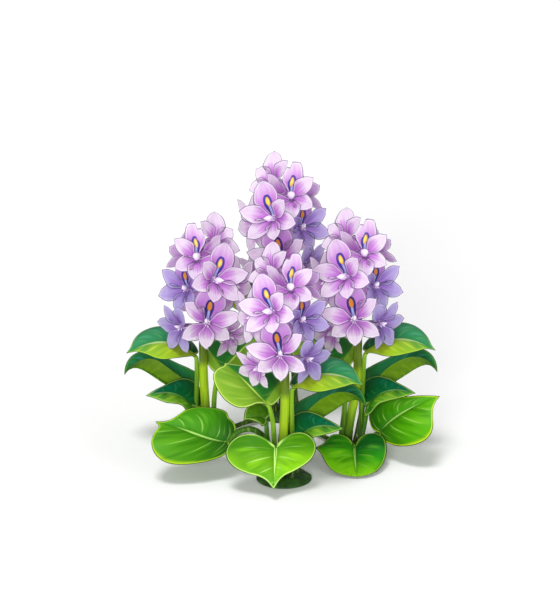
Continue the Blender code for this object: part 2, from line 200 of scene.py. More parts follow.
def smooth_through(points, t):
    """The value at t of the smooth curve through (t, value) points (Catmull-Rom)."""
    spots = [points[0], *points, points[-1]]
    for i in range(1, len(spots) - 2):
        (t0, v0), (t1, v1), (t2, v2), (t3, v3) = spots[i - 1:i + 3]
        if t <= t2 or i == len(spots) - 3:
            share = min(max((t - t1) / (t2 - t1), 0.0), 1.0)
            slope1 = (v2 - v0) / max(t2 - t0, WELD) * (t2 - t1)
            slope2 = (v3 - v1) / max(t3 - t1, WELD) * (t2 - t1)
            s2, s3 = share * share, share**3
            return (v1 * (2 * s3 - 3 * s2 + 1) + slope1 * (s3 - 2 * s2 + share)
                    + v2 * (3 * s2 - 2 * s3) + slope2 * (s3 - s2))


print("curves ready")

# %% [markdown]
# ## Camera
# The clump is seen from the front, about 20 degrees from above, through a long lens that keeps
# the rosettes nearly the same size. The camera looks at a point in the clump's middle from such a
# distance that one pixel of the picture is 1.1 mm there.

# %% Camera
PIXEL_MM = 1.1  # one pixel of the photo, at the clump's middle
IMAGE_WIDTH, IMAGE_HEIGHT = 560, 614
LENS_MM, SENSOR_MM = 200, 36
VIEW_ANGLE = math.radians(20)  # above the horizontal
AIM_MM = Vector((-1.2, -18.7, 150.0))
AIM_PIXEL = (280.0, 320.9)  # where that point is in the photo
FAR_ENOUGH = 100  # metres that the camera sees
back = Vector((0, -math.cos(VIEW_ANGLE), math.sin(VIEW_ANGLE)))
picture_up = Vector((0, math.sin(VIEW_ANGLE), math.cos(VIEW_ANGLE)))
distance = IMAGE_HEIGHT * PIXEL_MM * LENS_MM / SENSOR_MM
aim = AIM_MM + picture_up * (AIM_PIXEL[1] - IMAGE_HEIGHT / 2) * PIXEL_MM
aim += Vector((1, 0, 0)) * (IMAGE_WIDTH / 2 - AIM_PIXEL[0]) * PIXEL_MM
camera = bpy.data.objects.new("camera", bpy.data.cameras.new("camera"))
camera.data.lens = LENS_MM
camera.data.sensor_width = SENSOR_MM
camera.data.clip_end = FAR_ENOUGH
camera.location = (aim + back * distance) * MM
camera.rotation_euler = (-back).to_track_quat("-Z", "Y").to_euler()
bpy.context.scene.collection.objects.link(camera)
bpy.context.scene.camera = camera
print("the camera is", round(distance), "mm from the clump")

# %% [markdown]
# ## Floor and light
# The floor is matt white paper, which scatters all light and has no gloss. A wide soft sun from
# above puts the shadows under the leaves, one from the front reaches in under the petals, and
# two weak ones from the sides keep the flowers that look sideways from going grey. A white
# surround softens all shadows. Suns light the whole floor alike, so the paper is as white at the
# picture's edges as in its middle.

# %% Floor and light
HALF_FLOOR = 12.0  # metres
SURROUND_STRENGTH = 0.40
SUNS = {  # where it shines from, its strength, and how wide it is (degrees)
    "key light": ((-0.4, -0.6, 2.6), 1.50, 20),
    "front light": ((-0.5, -2.6, 0.8), 1.70, 20),
    "right fill": ((2.0, -1.8, 0.6), 0.7, 30),
    "left fill": ((-2.0, -1.8, 0.3), 0.4, 30),
}

paper, _ = new_material("white studio paper")
finish_material(paper, {"Base Color": "#fdfdfd", "Roughness": 1.0, "Specular IOR Level": 0.0})
floor_mesh = bpy.data.meshes.new("floor")
floor_mesh.from_pydata([(-HALF_FLOOR, -HALF_FLOOR, 0), (HALF_FLOOR, -HALF_FLOOR, 0),
                        (HALF_FLOOR, HALF_FLOOR, 0), (-HALF_FLOOR, HALF_FLOOR, 0)], [], [(0, 1, 2, 3)])
floor_mesh.materials.append(paper)
floor = bpy.data.objects.new("floor", floor_mesh)
bpy.context.scene.collection.objects.link(floor)

world = bpy.data.worlds.new("white surround")
world.use_nodes = True
world.node_tree.nodes["Background"].inputs["Color"].default_value = (1, 1, 1, 1)
world.node_tree.nodes["Background"].inputs["Strength"].default_value = SURROUND_STRENGTH
bpy.context.scene.world = world

for name, (place, energy, width) in SUNS.items():
    lamp = bpy.data.lights.new(name, "SUN")
    lamp.energy = energy
    lamp.angle = math.radians(width)
    made = bpy.data.objects.new(name, lamp)
    made.location = place
    made.rotation_euler = (-Vector(place)).to_track_quat("-Z", "Y").to_euler()
    bpy.context.scene.collection.objects.link(made)
bpy.context.scene.view_settings.view_transform = "Standard"
print(len(SUNS), "suns over the floor")

# %% [markdown]
# ## Where everything stands
# The frame's solids were made from these same measures, in millimetres from each rosette's
# crown. The outer rosettes are like the front one: the left one is its mirror image, the right
# one leans and stands a little higher, and the back one stands highest.

# %% Rosettes
ROSETTES = {
    "front": {"crown": (3.2, -108.7), "lean": 0.0, "rise": 0.0, "side": 1, "size": 0.98,
              "runner": "back"},
    "left": {"crown": (-85.2, -10.7), "lean": 0.0, "rise": 0.0, "side": -1, "size": 1.0,
             "runner": "back"},
    "right": {"crown": (75.8, -37.7), "lean": 7.5, "rise": 13.7, "side": 1, "size": 1.0,
              "runner": "back"},
    "back": {"crown": (4.4, 81.3), "lean": 0.0, "rise": 40.0, "side": 1, "size": 1.02,
             "runner": None},
}
CROWN_HEIGHT = 6.0
CROWN_RADIUS = 30.5


def crown_place(rosette):
    return Vector((*rosette["crown"], 0))


def lift_of(rosette):
    """How much further right and up the rosette's high leaves and its flowers stand (mm)."""
    return Vector((rosette["lean"], 0, rosette["rise"]))


# %% [markdown]
# ## One shape tool for sheets
# A leaf blade and a petal are both thin sheets that end in a fine margin. The tool takes a grid
# of places on the upper side and closes it with a lower side under it. The two meet at the
# margin, where the thickness is zero, so the shell is closed with no rim to build. It also
# stores how far each place is from the margin, because rims and outlines are a matter of
# millimetres, however wide the sheet is there.


# %% The thin shell
def margin_distance(places, margins):
    """The distance (mm) from each place of the grid to the nearest place of the margins."""
    line = np.concatenate(margins)
    gaps = np.linalg.norm(places[:, :, None, :] - line[None, None, :, :], axis=3)
    return gaps.min(axis=2)


def shell(places, uv, thickness, margins, reach=None):
    """A closed thin shell as a bmesh: rows run from the base to the tip, and columns across.

    places: rows x columns x 3, in mm. The upper side has material slot 0, the lower 1. reach
    is an optional number for each place, such as how far along the sheet it is."""
    rows, columns = places.shape[:2]
    margin = margin_distance(places, margins)
    reach = uv[..., 1] if reach is None else reach
    normal = np.cross(np.gradient(places, axis=0), np.gradient(places, axis=1))
    normal[-1] = normal[-2]
    normal /= np.maximum(np.linalg.norm(normal, axis=2, keepdims=True), 1e-9)
    made = bmesh.new()
    layer = made.loops.layers.uv.new("UVMap")
    made.verts.layers.float.new("margin")
    made.verts.layers.float.new("reach")
    margin_layer, reach_layer = (made.verts.layers.float[name] for name in ("margin", "reach"))
    underside = made.faces.layers.float.new("underside")
    for slot, grid in enumerate((places, places - normal * thickness[..., None])):
        corners = [[made.verts.new(place) for place in row] for row in grid * MM]
        for i, row in enumerate(corners):
            for j, corner in enumerate(row):
                corner[margin_layer] = margin[i, j]
                corner[reach_layer] = reach[i, j]
        for i in range(rows - 1):
            for j in range(columns - 1):
                ring = [(i, j), (i + 1, j), (i + 1, j + 1), (i, j + 1)]
                if slot:
                    ring.reverse()
                face = made.faces.new([corners[a][b] for a, b in ring])
                face.material_index = slot
                face[underside] = slot
                face.smooth = True
                for loop, (a, b) in zip(face.loops, ring):
                    loop[layer].uv = uv[a, b]
    bmesh.ops.remove_doubles(made, verts=made.verts, dist=WELD)
    return made


def object_of(name, mesh):
    made = bpy.data.objects.new(name, mesh)
    bpy.context.scene.collection.objects.link(made)
    return made


def mesh_from(name, made, materials):
    """The bmesh as a mesh with these materials, and the bmesh freed."""
    mesh = bpy.data.meshes.new(name)
    made.to_mesh(mesh)
    made.free()
    for finish in materials:
        mesh.materials.append(finish)
    return mesh


print("shell tool ready")

# %% [markdown]
# ## Two trees for what repeats
# Stems and rings of petals come up again and again, so each has a Geometry Nodes tree with named
# inputs. A tree is used on one object at a time, with the inputs that it needs there, and what
# comes out is kept as a plain mesh.


# %% What both trees need
def node_input(tree, name, kind, value=None):
    socket = tree.interface.new_socket(name, in_out="INPUT", socket_type=kind)
    if value is not None:
        socket.default_value = value


def new_tree(name):
    tree = bpy.data.node_groups.new(name, "GeometryNodeTree")
    tree.interface.new_socket("Geometry", in_out="OUTPUT", socket_type="NodeSocketGeometry")
    node_input(tree, "Geometry", "NodeSocketGeometry")
    return tree


def end_tree(tree, geometry, finish):
    """Makes the instances real, since the export drops them, and gives all of it its material."""
    real = add(tree, "GeometryNodeRealizeInstances", geometry)
    done = add(tree, "GeometryNodeSetMaterial", {"Geometry": real, "Material": finish})
    add(tree, "NodeGroupOutput", done)


def realised(source, tree, values):
    """The result of the tree on the object source, as a plain mesh. source is removed."""
    modifier = source.modifiers.new(tree.name, "NODES")
    modifier.node_group = tree
    for socket in tree.interface.items_tree:
        if socket.name in values:
            modifier[socket.identifier] = values[socket.name]
    graph = bpy.context.evaluated_depsgraph_get()
    mesh = bpy.data.meshes.new_from_object(source.evaluated_get(graph))
    source.modifiers.remove(modifier)
    bpy.data.objects.remove(source)
    return mesh


print("tree tools ready")

# %% [markdown]
# ## Stalks grow along paths
# Flower stalks, leaf stalks, runners and flower tubes are all round stems along a bent path. The
# tree sweeps a circle along the path and follows the radius stored at each of its points. Fine
# ridges run along the stem, as the vessels under its skin show. The tree also stores how far
# along the stem each place is, from 0 to 1, for the colours of its skin.


# %% Geometry Nodes: a ridged stem along a path
def stem_tree():
    tree = new_tree("Ridged stem along a path")
    node_input(tree, "Sides", "NodeSocketInt", 16)
    node_input(tree, "Ridges", "NodeSocketInt", 8)
    node_input(tree, "Ridge Depth", "NodeSocketFloat", 0.03)
    node_input(tree, "Finish", "NodeSocketMaterial")
    given = add(tree, "NodeGroupInput").node.outputs
    circle = add(tree, "GeometryNodeCurvePrimitiveCircle", {"Resolution": given["Sides"], "Radius": MM})
    around = add(tree, "GeometryNodeSplineParameter", result="Factor")
    turn = add(tree, "ShaderNodeMath", around, 2 * math.pi, operation="MULTIPLY")
    phase = add(tree, "ShaderNodeMath", turn, given["Ridges"], operation="MULTIPLY")
    wave = add(tree, "ShaderNodeMath", phase, operation="SINE")
    swell = add(tree, "ShaderNodeMath", wave, given["Ridge Depth"], 1.0, operation="MULTIPLY_ADD")
    place = add(tree, "GeometryNodeInputPosition")
    ridged = add(tree, "ShaderNodeVectorMath", place, swell, operation="SCALE")
    profile = add(tree, "GeometryNodeSetPosition", {"Geometry": circle, "Position": ridged})
    along = add(tree, "GeometryNodeSplineParameter", result="Factor")
    path = add(tree, "GeometryNodeStoreNamedAttribute",
               {"Geometry": given["Geometry"], "Name": "along", "Value": along},
               data_type="FLOAT", domain="POINT")
    swept = add(tree, "GeometryNodeCurveToMesh",
                {"Curve": path, "Profile Curve": profile, "Scale": add(tree, "GeometryNodeInputRadius"),
                 "Fill Caps": True})
    end_tree(tree, swept, given["Finish"])
    return tree


STEM_TREE = stem_tree()


def stem(name, places, radii, finish, ridges=8, ridge_depth=0.03, sides=16):
    """A stem through places (mm) with its own radius at each (mm), as a plain mesh."""
    curve = bpy.data.curves.new(name, "CURVE")
    curve.dimensions = "3D"
    spline = curve.splines.new("POLY")
    spline.points.add(len(places) - 1)
    for dot, place, radius in zip(spline.points, places, radii):
        dot.co = (*(Vector(place) * MM), 1)
        dot.radius = radius
    mesh = realised(object_of(name, curve), STEM_TREE,
                    {"Sides": sides, "Ridges": ridges, "Ridge Depth": ridge_depth, "Finish": finish})
    mesh.shade_smooth()
    return mesh


print("stem tree:", len(STEM_TREE.nodes), "nodes")

# %% [markdown]
# ## Leaf shapes
# A water hyacinth's leaf is a thick waxy blade on a round spongy stalk. The young ones in front
# are heart-shaped and lie low, and the older ones arch over with a drawn-out tip. Each form is
# a midrib curve and two half outlines, so that one function can shape them all, and the left
# rosette only turns them over.

# %% Leaf forms (mm from the crown)
# root: angle on the crown's ring. stem: the two inner Bezier points of the leaf stalk. midrib:
# its four Bezier points. facing: where the upper side looks. far and near: the half away from
# and towards the front, as a trace of its outline from the joint round to the tip, in lengths
# along and millimetres across, with the degrees that it is folded up at the joint and the tip.
# fan: above 1, the veins start closer to the joint and fan out from there.
Half = namedtuple("Half", "trace fold_joint fold_tip", defaults=(0, 0))


def oval_half(width, lobe, widest, point, fold_joint=0, fold_tip=0):
    """A half with a plain oval outline: width in mm, and how drawn-out its tip is."""
    back = 0.55 if lobe > 0.02 else 0.2
    first = [(-lobe, back), (-lobe, mix(back, 1.0, 0.6)), (mix(widest, -lobe, 0.6), 1.0), (widest, 1.0)]
    last = [(widest, 1.0), (mix(widest, 1.0, 0.5), 1.0), (1.0 - 0.36 * point, 0.55 - 0.28 * point),
            (1.0, 0.0)]
    trace = [(0.0, 0.0)]
    for corners, shares in ((first, (0, 0.25, 0.5, 0.75)), (last, (0, 0.2, 0.4, 0.6, 0.8, 1.0))):
        for share in shares:
            along, across, _ = bezier([(*corner, 0) for corner in corners], share)
            trace.append((along, across * width))
    return Half(tuple(trace), fold_joint, fold_tip)


UPPER = {
    "root": 20, "stem": ((9, 2, 45), (7, 1, 88)),
    "midrib": ((9, 2, 107), (31, 1, 127), (60, 0, 127), (85, -1, 110)),
    "facing": (0, -0.2, 1),
    "far": Half(((0, 0), (-0.03, 7), (0.03, 15), (0.15, 22), (0.30, 28), (0.46, 32), (0.62, 33),
                 (0.76, 29), (0.86, 20), (0.92, 10), (0.96, 4), (1.02, 0))),
    "near": Half(((0, 0), (-0.01, 4), (0.06, 10), (0.15, 19), (0.28, 30), (0.45, 36), (0.61, 32),
                  (0.76, 20), (0.87, 9), (0.95, 4), (1.02, 0))),
}
MIDDLE = {
    "root": 60, "stem": ((8, 18, 25), (8, 30, 41)),
    "midrib": ((15, 33, 52), (49, 31, 52), (75, 20, 106), (89, 10, 79)),
    "facing": (0, 0, 1),
    "far": oval_half(30, 0.10, 0.35, 0.7, 45, 45), "near": oval_half(24, -0.05, 0.55, 0.6, 60, 40),
}
LOWER = {
    "root": -50, "stem": ((11, -8, 18), (10, -6, 32)),
    "midrib": ((13, -3, 47), (24, -3, 62), (44, -4, 70), (65, -7, 61)),
    "facing": (0, -0.47, 0.88),
    "far": Half(((0, 0), (-0.14, 6), (-0.10, 14), (0.02, 22), (0.14, 27), (0.26, 28), (0.38, 25),
                 (0.52, 18), (0.67, 10), (0.84, 4), (1.0, 0))),
    "near": Half(((0, 0), (-0.20, 3), (-0.22, 8), (-0.10, 11), (0.06, 11), (0.22, 11), (0.42, 14),
                  (0.62, 15), (0.80, 11), (0.92, 5), (1.0, 0))),
}
INNER = {
    "root": 202, "stem": ((-9, -6, 40), (-10, -12, 72)),
    "midrib": ((-17, -12, 92), (-27, -11, 98), (-42, -4, 118), (-64, 3, 134)),
    "facing": (0.1, -0.6, 0.8),
    "far": Half(((0, 0), (-0.06, 1), (-0.10, 6), (-0.13, 16), (-0.12, 27), (-0.05, 36),
                 (0.08, 41), (0.26, 42), (0.46, 38), (0.62, 30), (0.75, 20), (0.88, 10),
                 (0.97, 3), (1.0, 0)), -10, -20),
    "near": Half(((0, 0), (0.06, 2), (0.14, 4.5), (0.22, 9), (0.28, 17), (0.37, 25.5), (0.52, 31),
                  (0.68, 33), (0.83, 31), (0.96, 25.5), (1.03, 18), (1.03, 11), (0.99, 4),
                  (1.0, 0))),
}
HEART = {
    "root": 250, "stem": ((-6, -12, 22), (-8, -24, 44)),
    "midrib": ((-9, -28, 49), (-9, -34, 40), (-11, -52, 24), (-11, -64, 14)),
    "facing": (0, -0.8, 0.6), "fan": 2.5,
    "far": Half(((0, 0), (-0.10, 9), (-0.21, 17), (-0.27, 25), (-0.29, 33), (-0.23, 43),
                 (-0.08, 51), (0.14, 54), (0.34, 52.5), (0.48, 47), (0.58, 38.5), (0.65, 27),
                 (0.70, 16.5), (0.80, 8), (1.0, 0)), -5, -5),
    "near": Half(((0, 0), (-0.10, 6), (-0.22, 14), (-0.31, 23), (-0.32, 31), (-0.23, 39),
                  (-0.06, 43.5), (0.10, 43), (0.27, 39), (0.41, 31.5), (0.54, 21.5), (0.66, 11.5),
                  (0.79, 5.5), (1.0, 0)), -5, -5),
}
ARCHING = {
    "root": 138, "stem": ((-14, 6, 58), (-42, 8, 68)), "stalk": 1.35,
    "midrib": ((-60, 10, 40), (-80, 12, 36), (-108, 20, 53), (-138, 24, 57)),
    "facing": (0.05, -0.50, 0.86), "fan": 1.15,
    "far": Half(((0, 0), (-0.07, 5), (-0.10, 13), (-0.07, 25), (0.03, 34), (0.17, 40.5),
                 (0.37, 42.5), (0.54, 39.5), (0.65, 34.5), (0.74, 26.5), (0.80, 16), (0.86, 7),
                 (0.93, 2.5), (1.03, 0))),
    "near": Half(((0, 0), (-0.01, 10.5), (0.05, 18), (0.17, 26), (0.31, 35), (0.46, 43), (0.60, 48),
                  (0.75, 49), (0.88, 45), (0.97, 38), (1.01, 29), (1.01, 20), (0.98, 12),
                  (0.97, 6), (1.03, 0))),
}
OUTER = {
    "root": -15, "stem": ((16, -5, 18), (24, -6, 24)),
    "midrib": ((32, -8, 28), (46, -10, 47), (68, -12, 64), (98, -14, 74)),
    "facing": (-0.27, -0.6, 0.7), "fan": 1.2,
    "far": Half(((0, 0), (-0.04, 10), (0.0, 21), (0.10, 29.5), (0.22, 33), (0.34, 31), (0.48, 23.5),
                 (0.62, 15), (0.76, 9.5), (0.88, 5), (1.01, 0))),
    "near": Half(((0, 0), (0.0, 13), (0.09, 25), (0.25, 36), (0.44, 43.5), (0.62, 45.5), (0.76, 41.5),
                  (0.83, 34), (0.86, 24), (0.90, 12), (0.95, 5), (1.01, 0))),
}
LOW_HEART = {
    "root": 272, "stem": ((3, -16, 18), (4, -22, 22)),
    "midrib": ((5, -26, 18), (5, -38, 11), (6, -56, 6), (7, -73, 3)),
    "facing": (0, -0.3, 0.95), "fan": 2.5,
    "far": Half(((0, 0), (-0.09, 2), (-0.26, 7.5), (-0.37, 16.5), (-0.36, 25.5), (-0.24, 32.5),
                 (-0.03, 35.5), (0.27, 35), (0.59, 30), (0.82, 22), (0.95, 13), (0.99, 6),
                 (1.01, 0)), 6, 0),
    "near": Half(((0, 0), (-0.12, 3), (-0.26, 8.5), (-0.34, 16.5), (-0.33, 24), (-0.22, 30),
                  (-0.06, 35), (0.02, 40), (0.10, 43), (0.18, 40), (0.30, 37), (0.54, 32.5),
                  (0.77, 25), (0.91, 15.5), (0.98, 7), (1.01, 0)), 6, 0),
}
REAR = {
    "root": 100, "stem": ((2, 12, 45), (4, 22, 78)),
    "midrib": ((6, 34, 84), (8, 52, 100), (16, 84, 92), (18, 96, 62)),
    "facing": (0.1, 0.4, 0.9),
    "far": oval_half(36, 0.16, 0.36, 0.8), "near": oval_half(36, 0.16, 0.36, 0.8),
}
SHADED = {
    "root": 170, "stem": ((-16, 0, 30), (-20, -1, 55)),
    "midrib": ((-19, 4, 68), (-26, 4, 73), (-36, 3, 74), (-44, 0, 68)),
    "facing": (0.5, -0.5, 0.7),
    "far": oval_half(18, 0.10, 0.36, 0.6),
    "near": Half(((0, 0), (-0.06, 5), (0.0, 10), (0.14, 12), (0.32, 10), (0.52, 7), (0.72, 4), (1.0, 0))),
}

# rosette: {leaf: (form, whether it stands higher with the rosette, look)}
HIGH_LEAVES = {
    "inner": (INNER, True, "inner"), "upper": (UPPER, True, "upper"),
    "middle": (MIDDLE, True, "middle"), "lower": (LOWER, True, "lower"),
}
LEAVES = {
    "front": {"heart": (HEART, False, "heart"), "arching": (ARCHING, False, "broad"),
              **HIGH_LEAVES, "shaded": (SHADED, False, "shaded")},
    "left": HIGH_LEAVES,
    "right": {"heart": (LOW_HEART, False, "low heart"), "outer": (OUTER, False, "outer"),
              **HIGH_LEAVES},
    "back": {"inner": (INNER, True, "inner"), "upper": (UPPER, True, "upper"),
             "rear": (REAR, False, "rear")},
}
LEAF_STALK_RING = 13.0
LEAF_STALK_FOOT_RADIUS = 3.3
LEAF_STALK_NECK_RADIUS = 2.3
print(sum(len(leaves) for leaves in LEAVES.values()), "leaves")

# %% [markdown]
# ## Leaf looks
# The green of a leaf changes with its age. Young leaves in front are fresh yellow-green. The
# light is painted into the greens: a leaf that arches back is painted deep blue-green where it
# turns from the sun, and the two halves of one blade can differ a lot, since each is painted with
# the light that it would catch. So each leaf has a look of its own: a few greens for each half,
# and how plain its veins are.

# %% Leaf looks
# far, near: greens of each half at the joint, in the middle and at the tip, with its light and
# shade painted in. glow: the painted highlights, soft light patches of the far and the near half.
# edge: the painted light and shade that the outer part of the far and the near half turns to, from
# the share edge_from of the way out. rim: a painted highlight, the pale line inside the margin.
# vein: midrib and veins. under: the dark green of the painted shade between the patches, at the
# joint and beside the midrib, which the lower side also turns to towards its tip. below: the
# blade's lower side. lobe: the green of a far half where it turns up at the joint, painted lit
# beside the painted shadow on the rest of it. veins: how many side veins each half has. draw and
# rim_draw: how plain the veins and the rim are. crest: how plain the painted highlight beside the
# midrib is. sweep: how far a vein bends on towards the tip, as a share of the rows. streaks: how
# dark the painted shade between the patches is. A look says only what is not usual.
USUAL_LOOK = {"edge_from": 0.60, "veins": 5, "draw": 0.5, "rim_draw": 0.8, "crest": 0.0, "sweep": 0.26,
              "streaks": 0.5}
LEAF_LOOKS = {
    "heart": {"far": ("#3c7c06", "#5e9a0a", "#549c10"), "near": ("#4c8c08", "#7cbc12", "#5ca810"),
              "painted_highlight": ("#80c018", "#8ccc1c"), "edge": ("#74b014", "#84bc18"), "edge_from": 0.70,
              "rim": "#b8e06c", "vein": "#c4ec80", "under": "#347404", "below": "#4c8408",
              "veins": 6, "draw": 0.55, "rim_draw": 0.9, "sweep": 0.06, "streaks": 0.35},
    "broad": {"far": ("#155204", "#3c8606", "#439018"), "near": ("#155004", "#3a7e04", "#4c9410"),
              "painted_highlight": ("#62ac28", "#5ca018"), "edge": ("#3a8a14", "#a8c81c"), "edge_from": 0.86,
              "rim": "#a4cc28", "vein": "#a8dc6a", "under": "#1c5804", "below": "#3f7a08"},
    "outer": {"far": ("#1a5c06", "#449608", "#4a9c18"), "near": ("#1c5c06", "#449204", "#56a410"),
              "painted_highlight": ("#7cc040", "#6cb01c"), "edge": ("#449a18", "#a8c81c"), "edge_from": 0.86,
              "rim": "#bcd82c", "vein": "#b0e070", "under": "#246404", "below": "#3f7a08"},
    "low heart": {"far": ("#0c5c1c", "#2c9010", "#80cc10"), "near": ("#2c8c10", "#66bc10", "#84cc10"),
                  "painted_highlight": ("#58ac18", "#80cc20"), "edge": ("#287c14", "#70bc14"), "edge_from": 0.75,
                  "rim": "#a8cc40", "vein": "#b0e06c", "under": "#0f500a", "below": "#2d5e08",
                  "veins": 6, "draw": 0.3, "rim_draw": 0.6, "sweep": 0.06},
    "inner": {"far": ("#2a6a1c", "#1c6424", "#2a7430"), "near": ("#587f18", "#6e9824", "#6f9c2c"),
              "painted_highlight": ("#2c7434", "#90b43c"), "edge": ("#2a7428", "#86ae30"), "edge_from": 0.70,
              "rim": "#c0dc68", "vein": "#b8d464", "under": "#4c8814", "below": "#4a7e08",
              "draw": 0.25, "lobe": "#84ac30", "streaks": 0.25},
    "upper": {"far": ("#103c12", "#2a7f50", "#348a54"), "near": ("#a0b820", "#98bc20", "#3c9440"),
              "painted_highlight": ("#50a478", "#c4d840"), "edge": ("#22704c", "#94bc20"),
              "rim": "#b8dc5c", "vein": "#a8d460", "under": "#1a5c24", "below": "#547808",
              "draw": 0.15, "rim_draw": 0.45, "crest": 0.8, "streaks": 0.22},
    "middle": {"far": ("#1f6f30", "#247a54", "#1c6410"), "near": ("#1c6620", "#206c44", "#1c6410"),
               "painted_highlight": ("#3c9c84", "#348c66"), "edge": ("#1f6c3c", "#1f6c3c"),
               "rim": "#7cb040", "vein": "#4c9a54", "under": "#16520f", "below": "#547c04",
               "draw": 0.10, "rim_draw": 0.3},
    "lower": {"far": ("#0a5414", "#046034", "#0c6c54"), "near": ("#348414", "#6ca828", "#3c9438"),
              "painted_highlight": ("#108060", "#a4c834"), "edge": ("#084c14", "#84b838"),
              "rim": "#b0d860", "vein": "#6cb450", "under": "#084814", "below": "#3c7008",
              "draw": 0.25, "rim_draw": 0.6, "crest": 0.3},
    "shaded": {"far": ("#38660e", "#42720e", "#4a7a12"), "near": ("#38660e", "#42720e", "#4a7a12"),
               "painted_highlight": ("#548418", "#548418"), "edge": ("#42720e", "#42720e"),
               "rim": "#a8c860", "vein": "#6c9a2c", "under": "#2c540c", "below": "#3a6c08",
               "draw": 0.2, "rim_draw": 0.7},
    "rear": {"far": ("#2f7a2c", "#4b9a30", "#418c3c"), "near": ("#2f7a2c", "#4b9a30", "#418c3c"),
             "painted_highlight": ("#6cb04c", "#6cb04c"), "edge": ("#418c3c", "#418c3c"),
             "rim": "#a9cc5c", "vein": "#8cc060", "under": "#1f5e1c", "below": "#4a8008",
             "veins": 6, "draw": 0.4, "rim_draw": 0.7},
}
LEAF_LOOKS = {name: {**USUAL_LOOK, **look} for name, look in LEAF_LOOKS.items()}
print(len(LEAF_LOOKS), "leaf looks")

# %% [markdown]
# ## Leaf material: a waxy living blade
# A leaf's upper skin is covered by a smooth wax, so it has a soft wide highlight on a skin that
# swells a little between the veins. The colour is laid on as a painter would: first the green of
# each half with its painted light and shade, then painted highlights and shade as patches beside
# the veins, then the pale veins themselves, and last the margin with its painted pale rim. All of
# it follows the blade's own map. Across, the far half runs from the midrib to 1 and the near half
# to -1. Rows count the places along the midrib from which the veins leave, and reach is how far
# along the blade a place lies in fact.

# %% The map of a sheet
Sheet = namedtuple("Sheet", "signed out row reach margin")
VEIN_BEND = 1.5  # a vein bends more the further out it is
PATCHES_ALONG = 13.0  # painted light and shade patches between the joint and the tip
OUTLINE_GREEN = "#143c06"  # the dark line drawn along the very margin
BLADE_RIM = (2.5, 1.4)  # the painted pale rim, in mm from the margin: where it starts, and where it is full
BLADE_OUTLINE = (1.15, 0.65)


def sheet_map(tree):
    """Where a place of a leaf or petal is: signed across it (-1 to 1), out from its middle (0 to
    1), its row and its reach along it (0 to 1), and its distance to the margin (mm)."""
    across = add(tree, "ShaderNodeSeparateXYZ", add(tree, "ShaderNodeUVMap", uv_map="UVMap"))
    signed = add(tree, "ShaderNodeMath", across, 2.0, -1.0, operation="MULTIPLY_ADD")
    out = add(tree, "ShaderNodeMath", signed, operation="ABSOLUTE")
    reach = add(tree, "ShaderNodeAttribute", result="Fac", attribute_name="reach")
    margin = add(tree, "ShaderNodeAttribute", result="Fac", attribute_name="margin")
    return Sheet(signed, out, across.node.outputs["Y"], reach, margin)


print("a place on a sheet is given by", ", ".join(Sheet._fields))

# %% [markdown]
# Light is painted beside the veins as soft highlights, and shade is painted half-way between
# them, at the joint and beside the midrib. A wave and a noise can draw that. The wave gives the
# veins, evenly spaced along the midrib, and the noise, stretched along them, gives the patches of
# painted highlight and shade. Both follow the same bent rows, so they stay side by side.


# %% Greens, patches and veins of a blade
def blade_greens(tree, look, sheet, is_far):
    """Each half's green from the joint to the tip and further out, with light and shade painted in."""
    halves = [add(tree, "ShaderNodeValToRGB", sheet.reach, stops=list(zip((0.0, 0.42, 0.95), look[half])))
              for half in ("near", "far")]
    green = tint(tree, *halves, is_far)
    # The edge green paints the light and shade on the outer part of each half.
    edge = tint(tree, look["edge"][1], look["edge"][0], is_far)
    green = tint(tree, green, edge, (sheet.out, look["edge_from"], 1.0, 0.9), (sheet.reach, 0.05, 0.45))
    # A far half is painted lit where it turns up at the joint, beside the painted shadow on the rest.
    if "lobe" in look:
        green = tint(tree, green, look["lobe"], (sheet.reach, 0.16, 0.06), is_far)
    return green


def bent_rows(tree, look, sheet):
    """The row of a place, followed back along the side vein that it lies on."""
    bend = add(tree, "ShaderNodeMath", sheet.out, VEIN_BEND, operation="POWER")
    bend = add(tree, "ShaderNodeMath", bend, look["sweep"], operation="MULTIPLY")
    return add(tree, "ShaderNodeMath", sheet.row, bend, operation="SUBTRACT")


def blade_patches(tree, look, sheet, bent, is_far, green):
    """Painted highlights and shade in patches along the veins, and painted shade at the joint and midrib."""
    run = add(tree, "ShaderNodeMath", bent, PATCHES_ALONG, operation="MULTIPLY")
    place = add(tree, "ShaderNodeCombineXYZ", sheet.signed, run)
    patches = add(tree, "ShaderNodeTexNoise", {"Vector": place, "Scale": 1.0, "Detail": 2.0,
                                               "Roughness": 0.5})
    # Painted highlights: soft light patches beside the veins.
    painted_highlight = tint(tree, look["painted_highlight"][1], look["painted_highlight"][0], is_far)
    green = tint(tree, green, painted_highlight, (patches, 0.46, 0.72, 0.7), (sheet.out, 0.12, 0.45),
                 (sheet.out, 0.95, 0.60))
    # Painted shade: between the patches, at the joint and beside the midrib.
    for zone in ((patches, 0.48, 0.26, look["streaks"]), (sheet.reach, 0.20, -0.10, 0.4),
                 (sheet.out, 0.16, 0.03, 0.35)):
        green = tint(tree, green, look["under"], zone)
    return green, patches


def blade_veins(tree, look, sheet, bent, patches):
    """Where the midrib and the side veins are. They start beside it and fade before the margin."""
    phase = add(tree, "ShaderNodeMath", bent, float(look["veins"]), operation="MULTIPLY")
    phase = add(tree, "ShaderNodeMath", phase, operation="FRACT")
    aside = add(tree, "ShaderNodeMath", phase, 0.5, operation="SUBTRACT")
    aside = add(tree, "ShaderNodeMath", aside, operation="ABSOLUTE")
    vein = strength(tree, (aside, 0.065, 0.005), (sheet.out, 0.74, 0.35), (sheet.out, 0.02, 0.25),
                    (patches, 0.36, 0.56, 1.0, 0.25), look["draw"])
    midrib = strength(tree, (sheet.out, 0.042, 0.010), (sheet.reach, 0.86, 0.50))
    return add(tree, "ShaderNodeMath", vein, midrib, operation="MAXIMUM")


print("blade recipes ready")

# %% [markdown]
# The upper side puts these together and gets the wax, and the lower side is plainer. A blade is
# about a millimetre thick, so both sides end in the same rim.


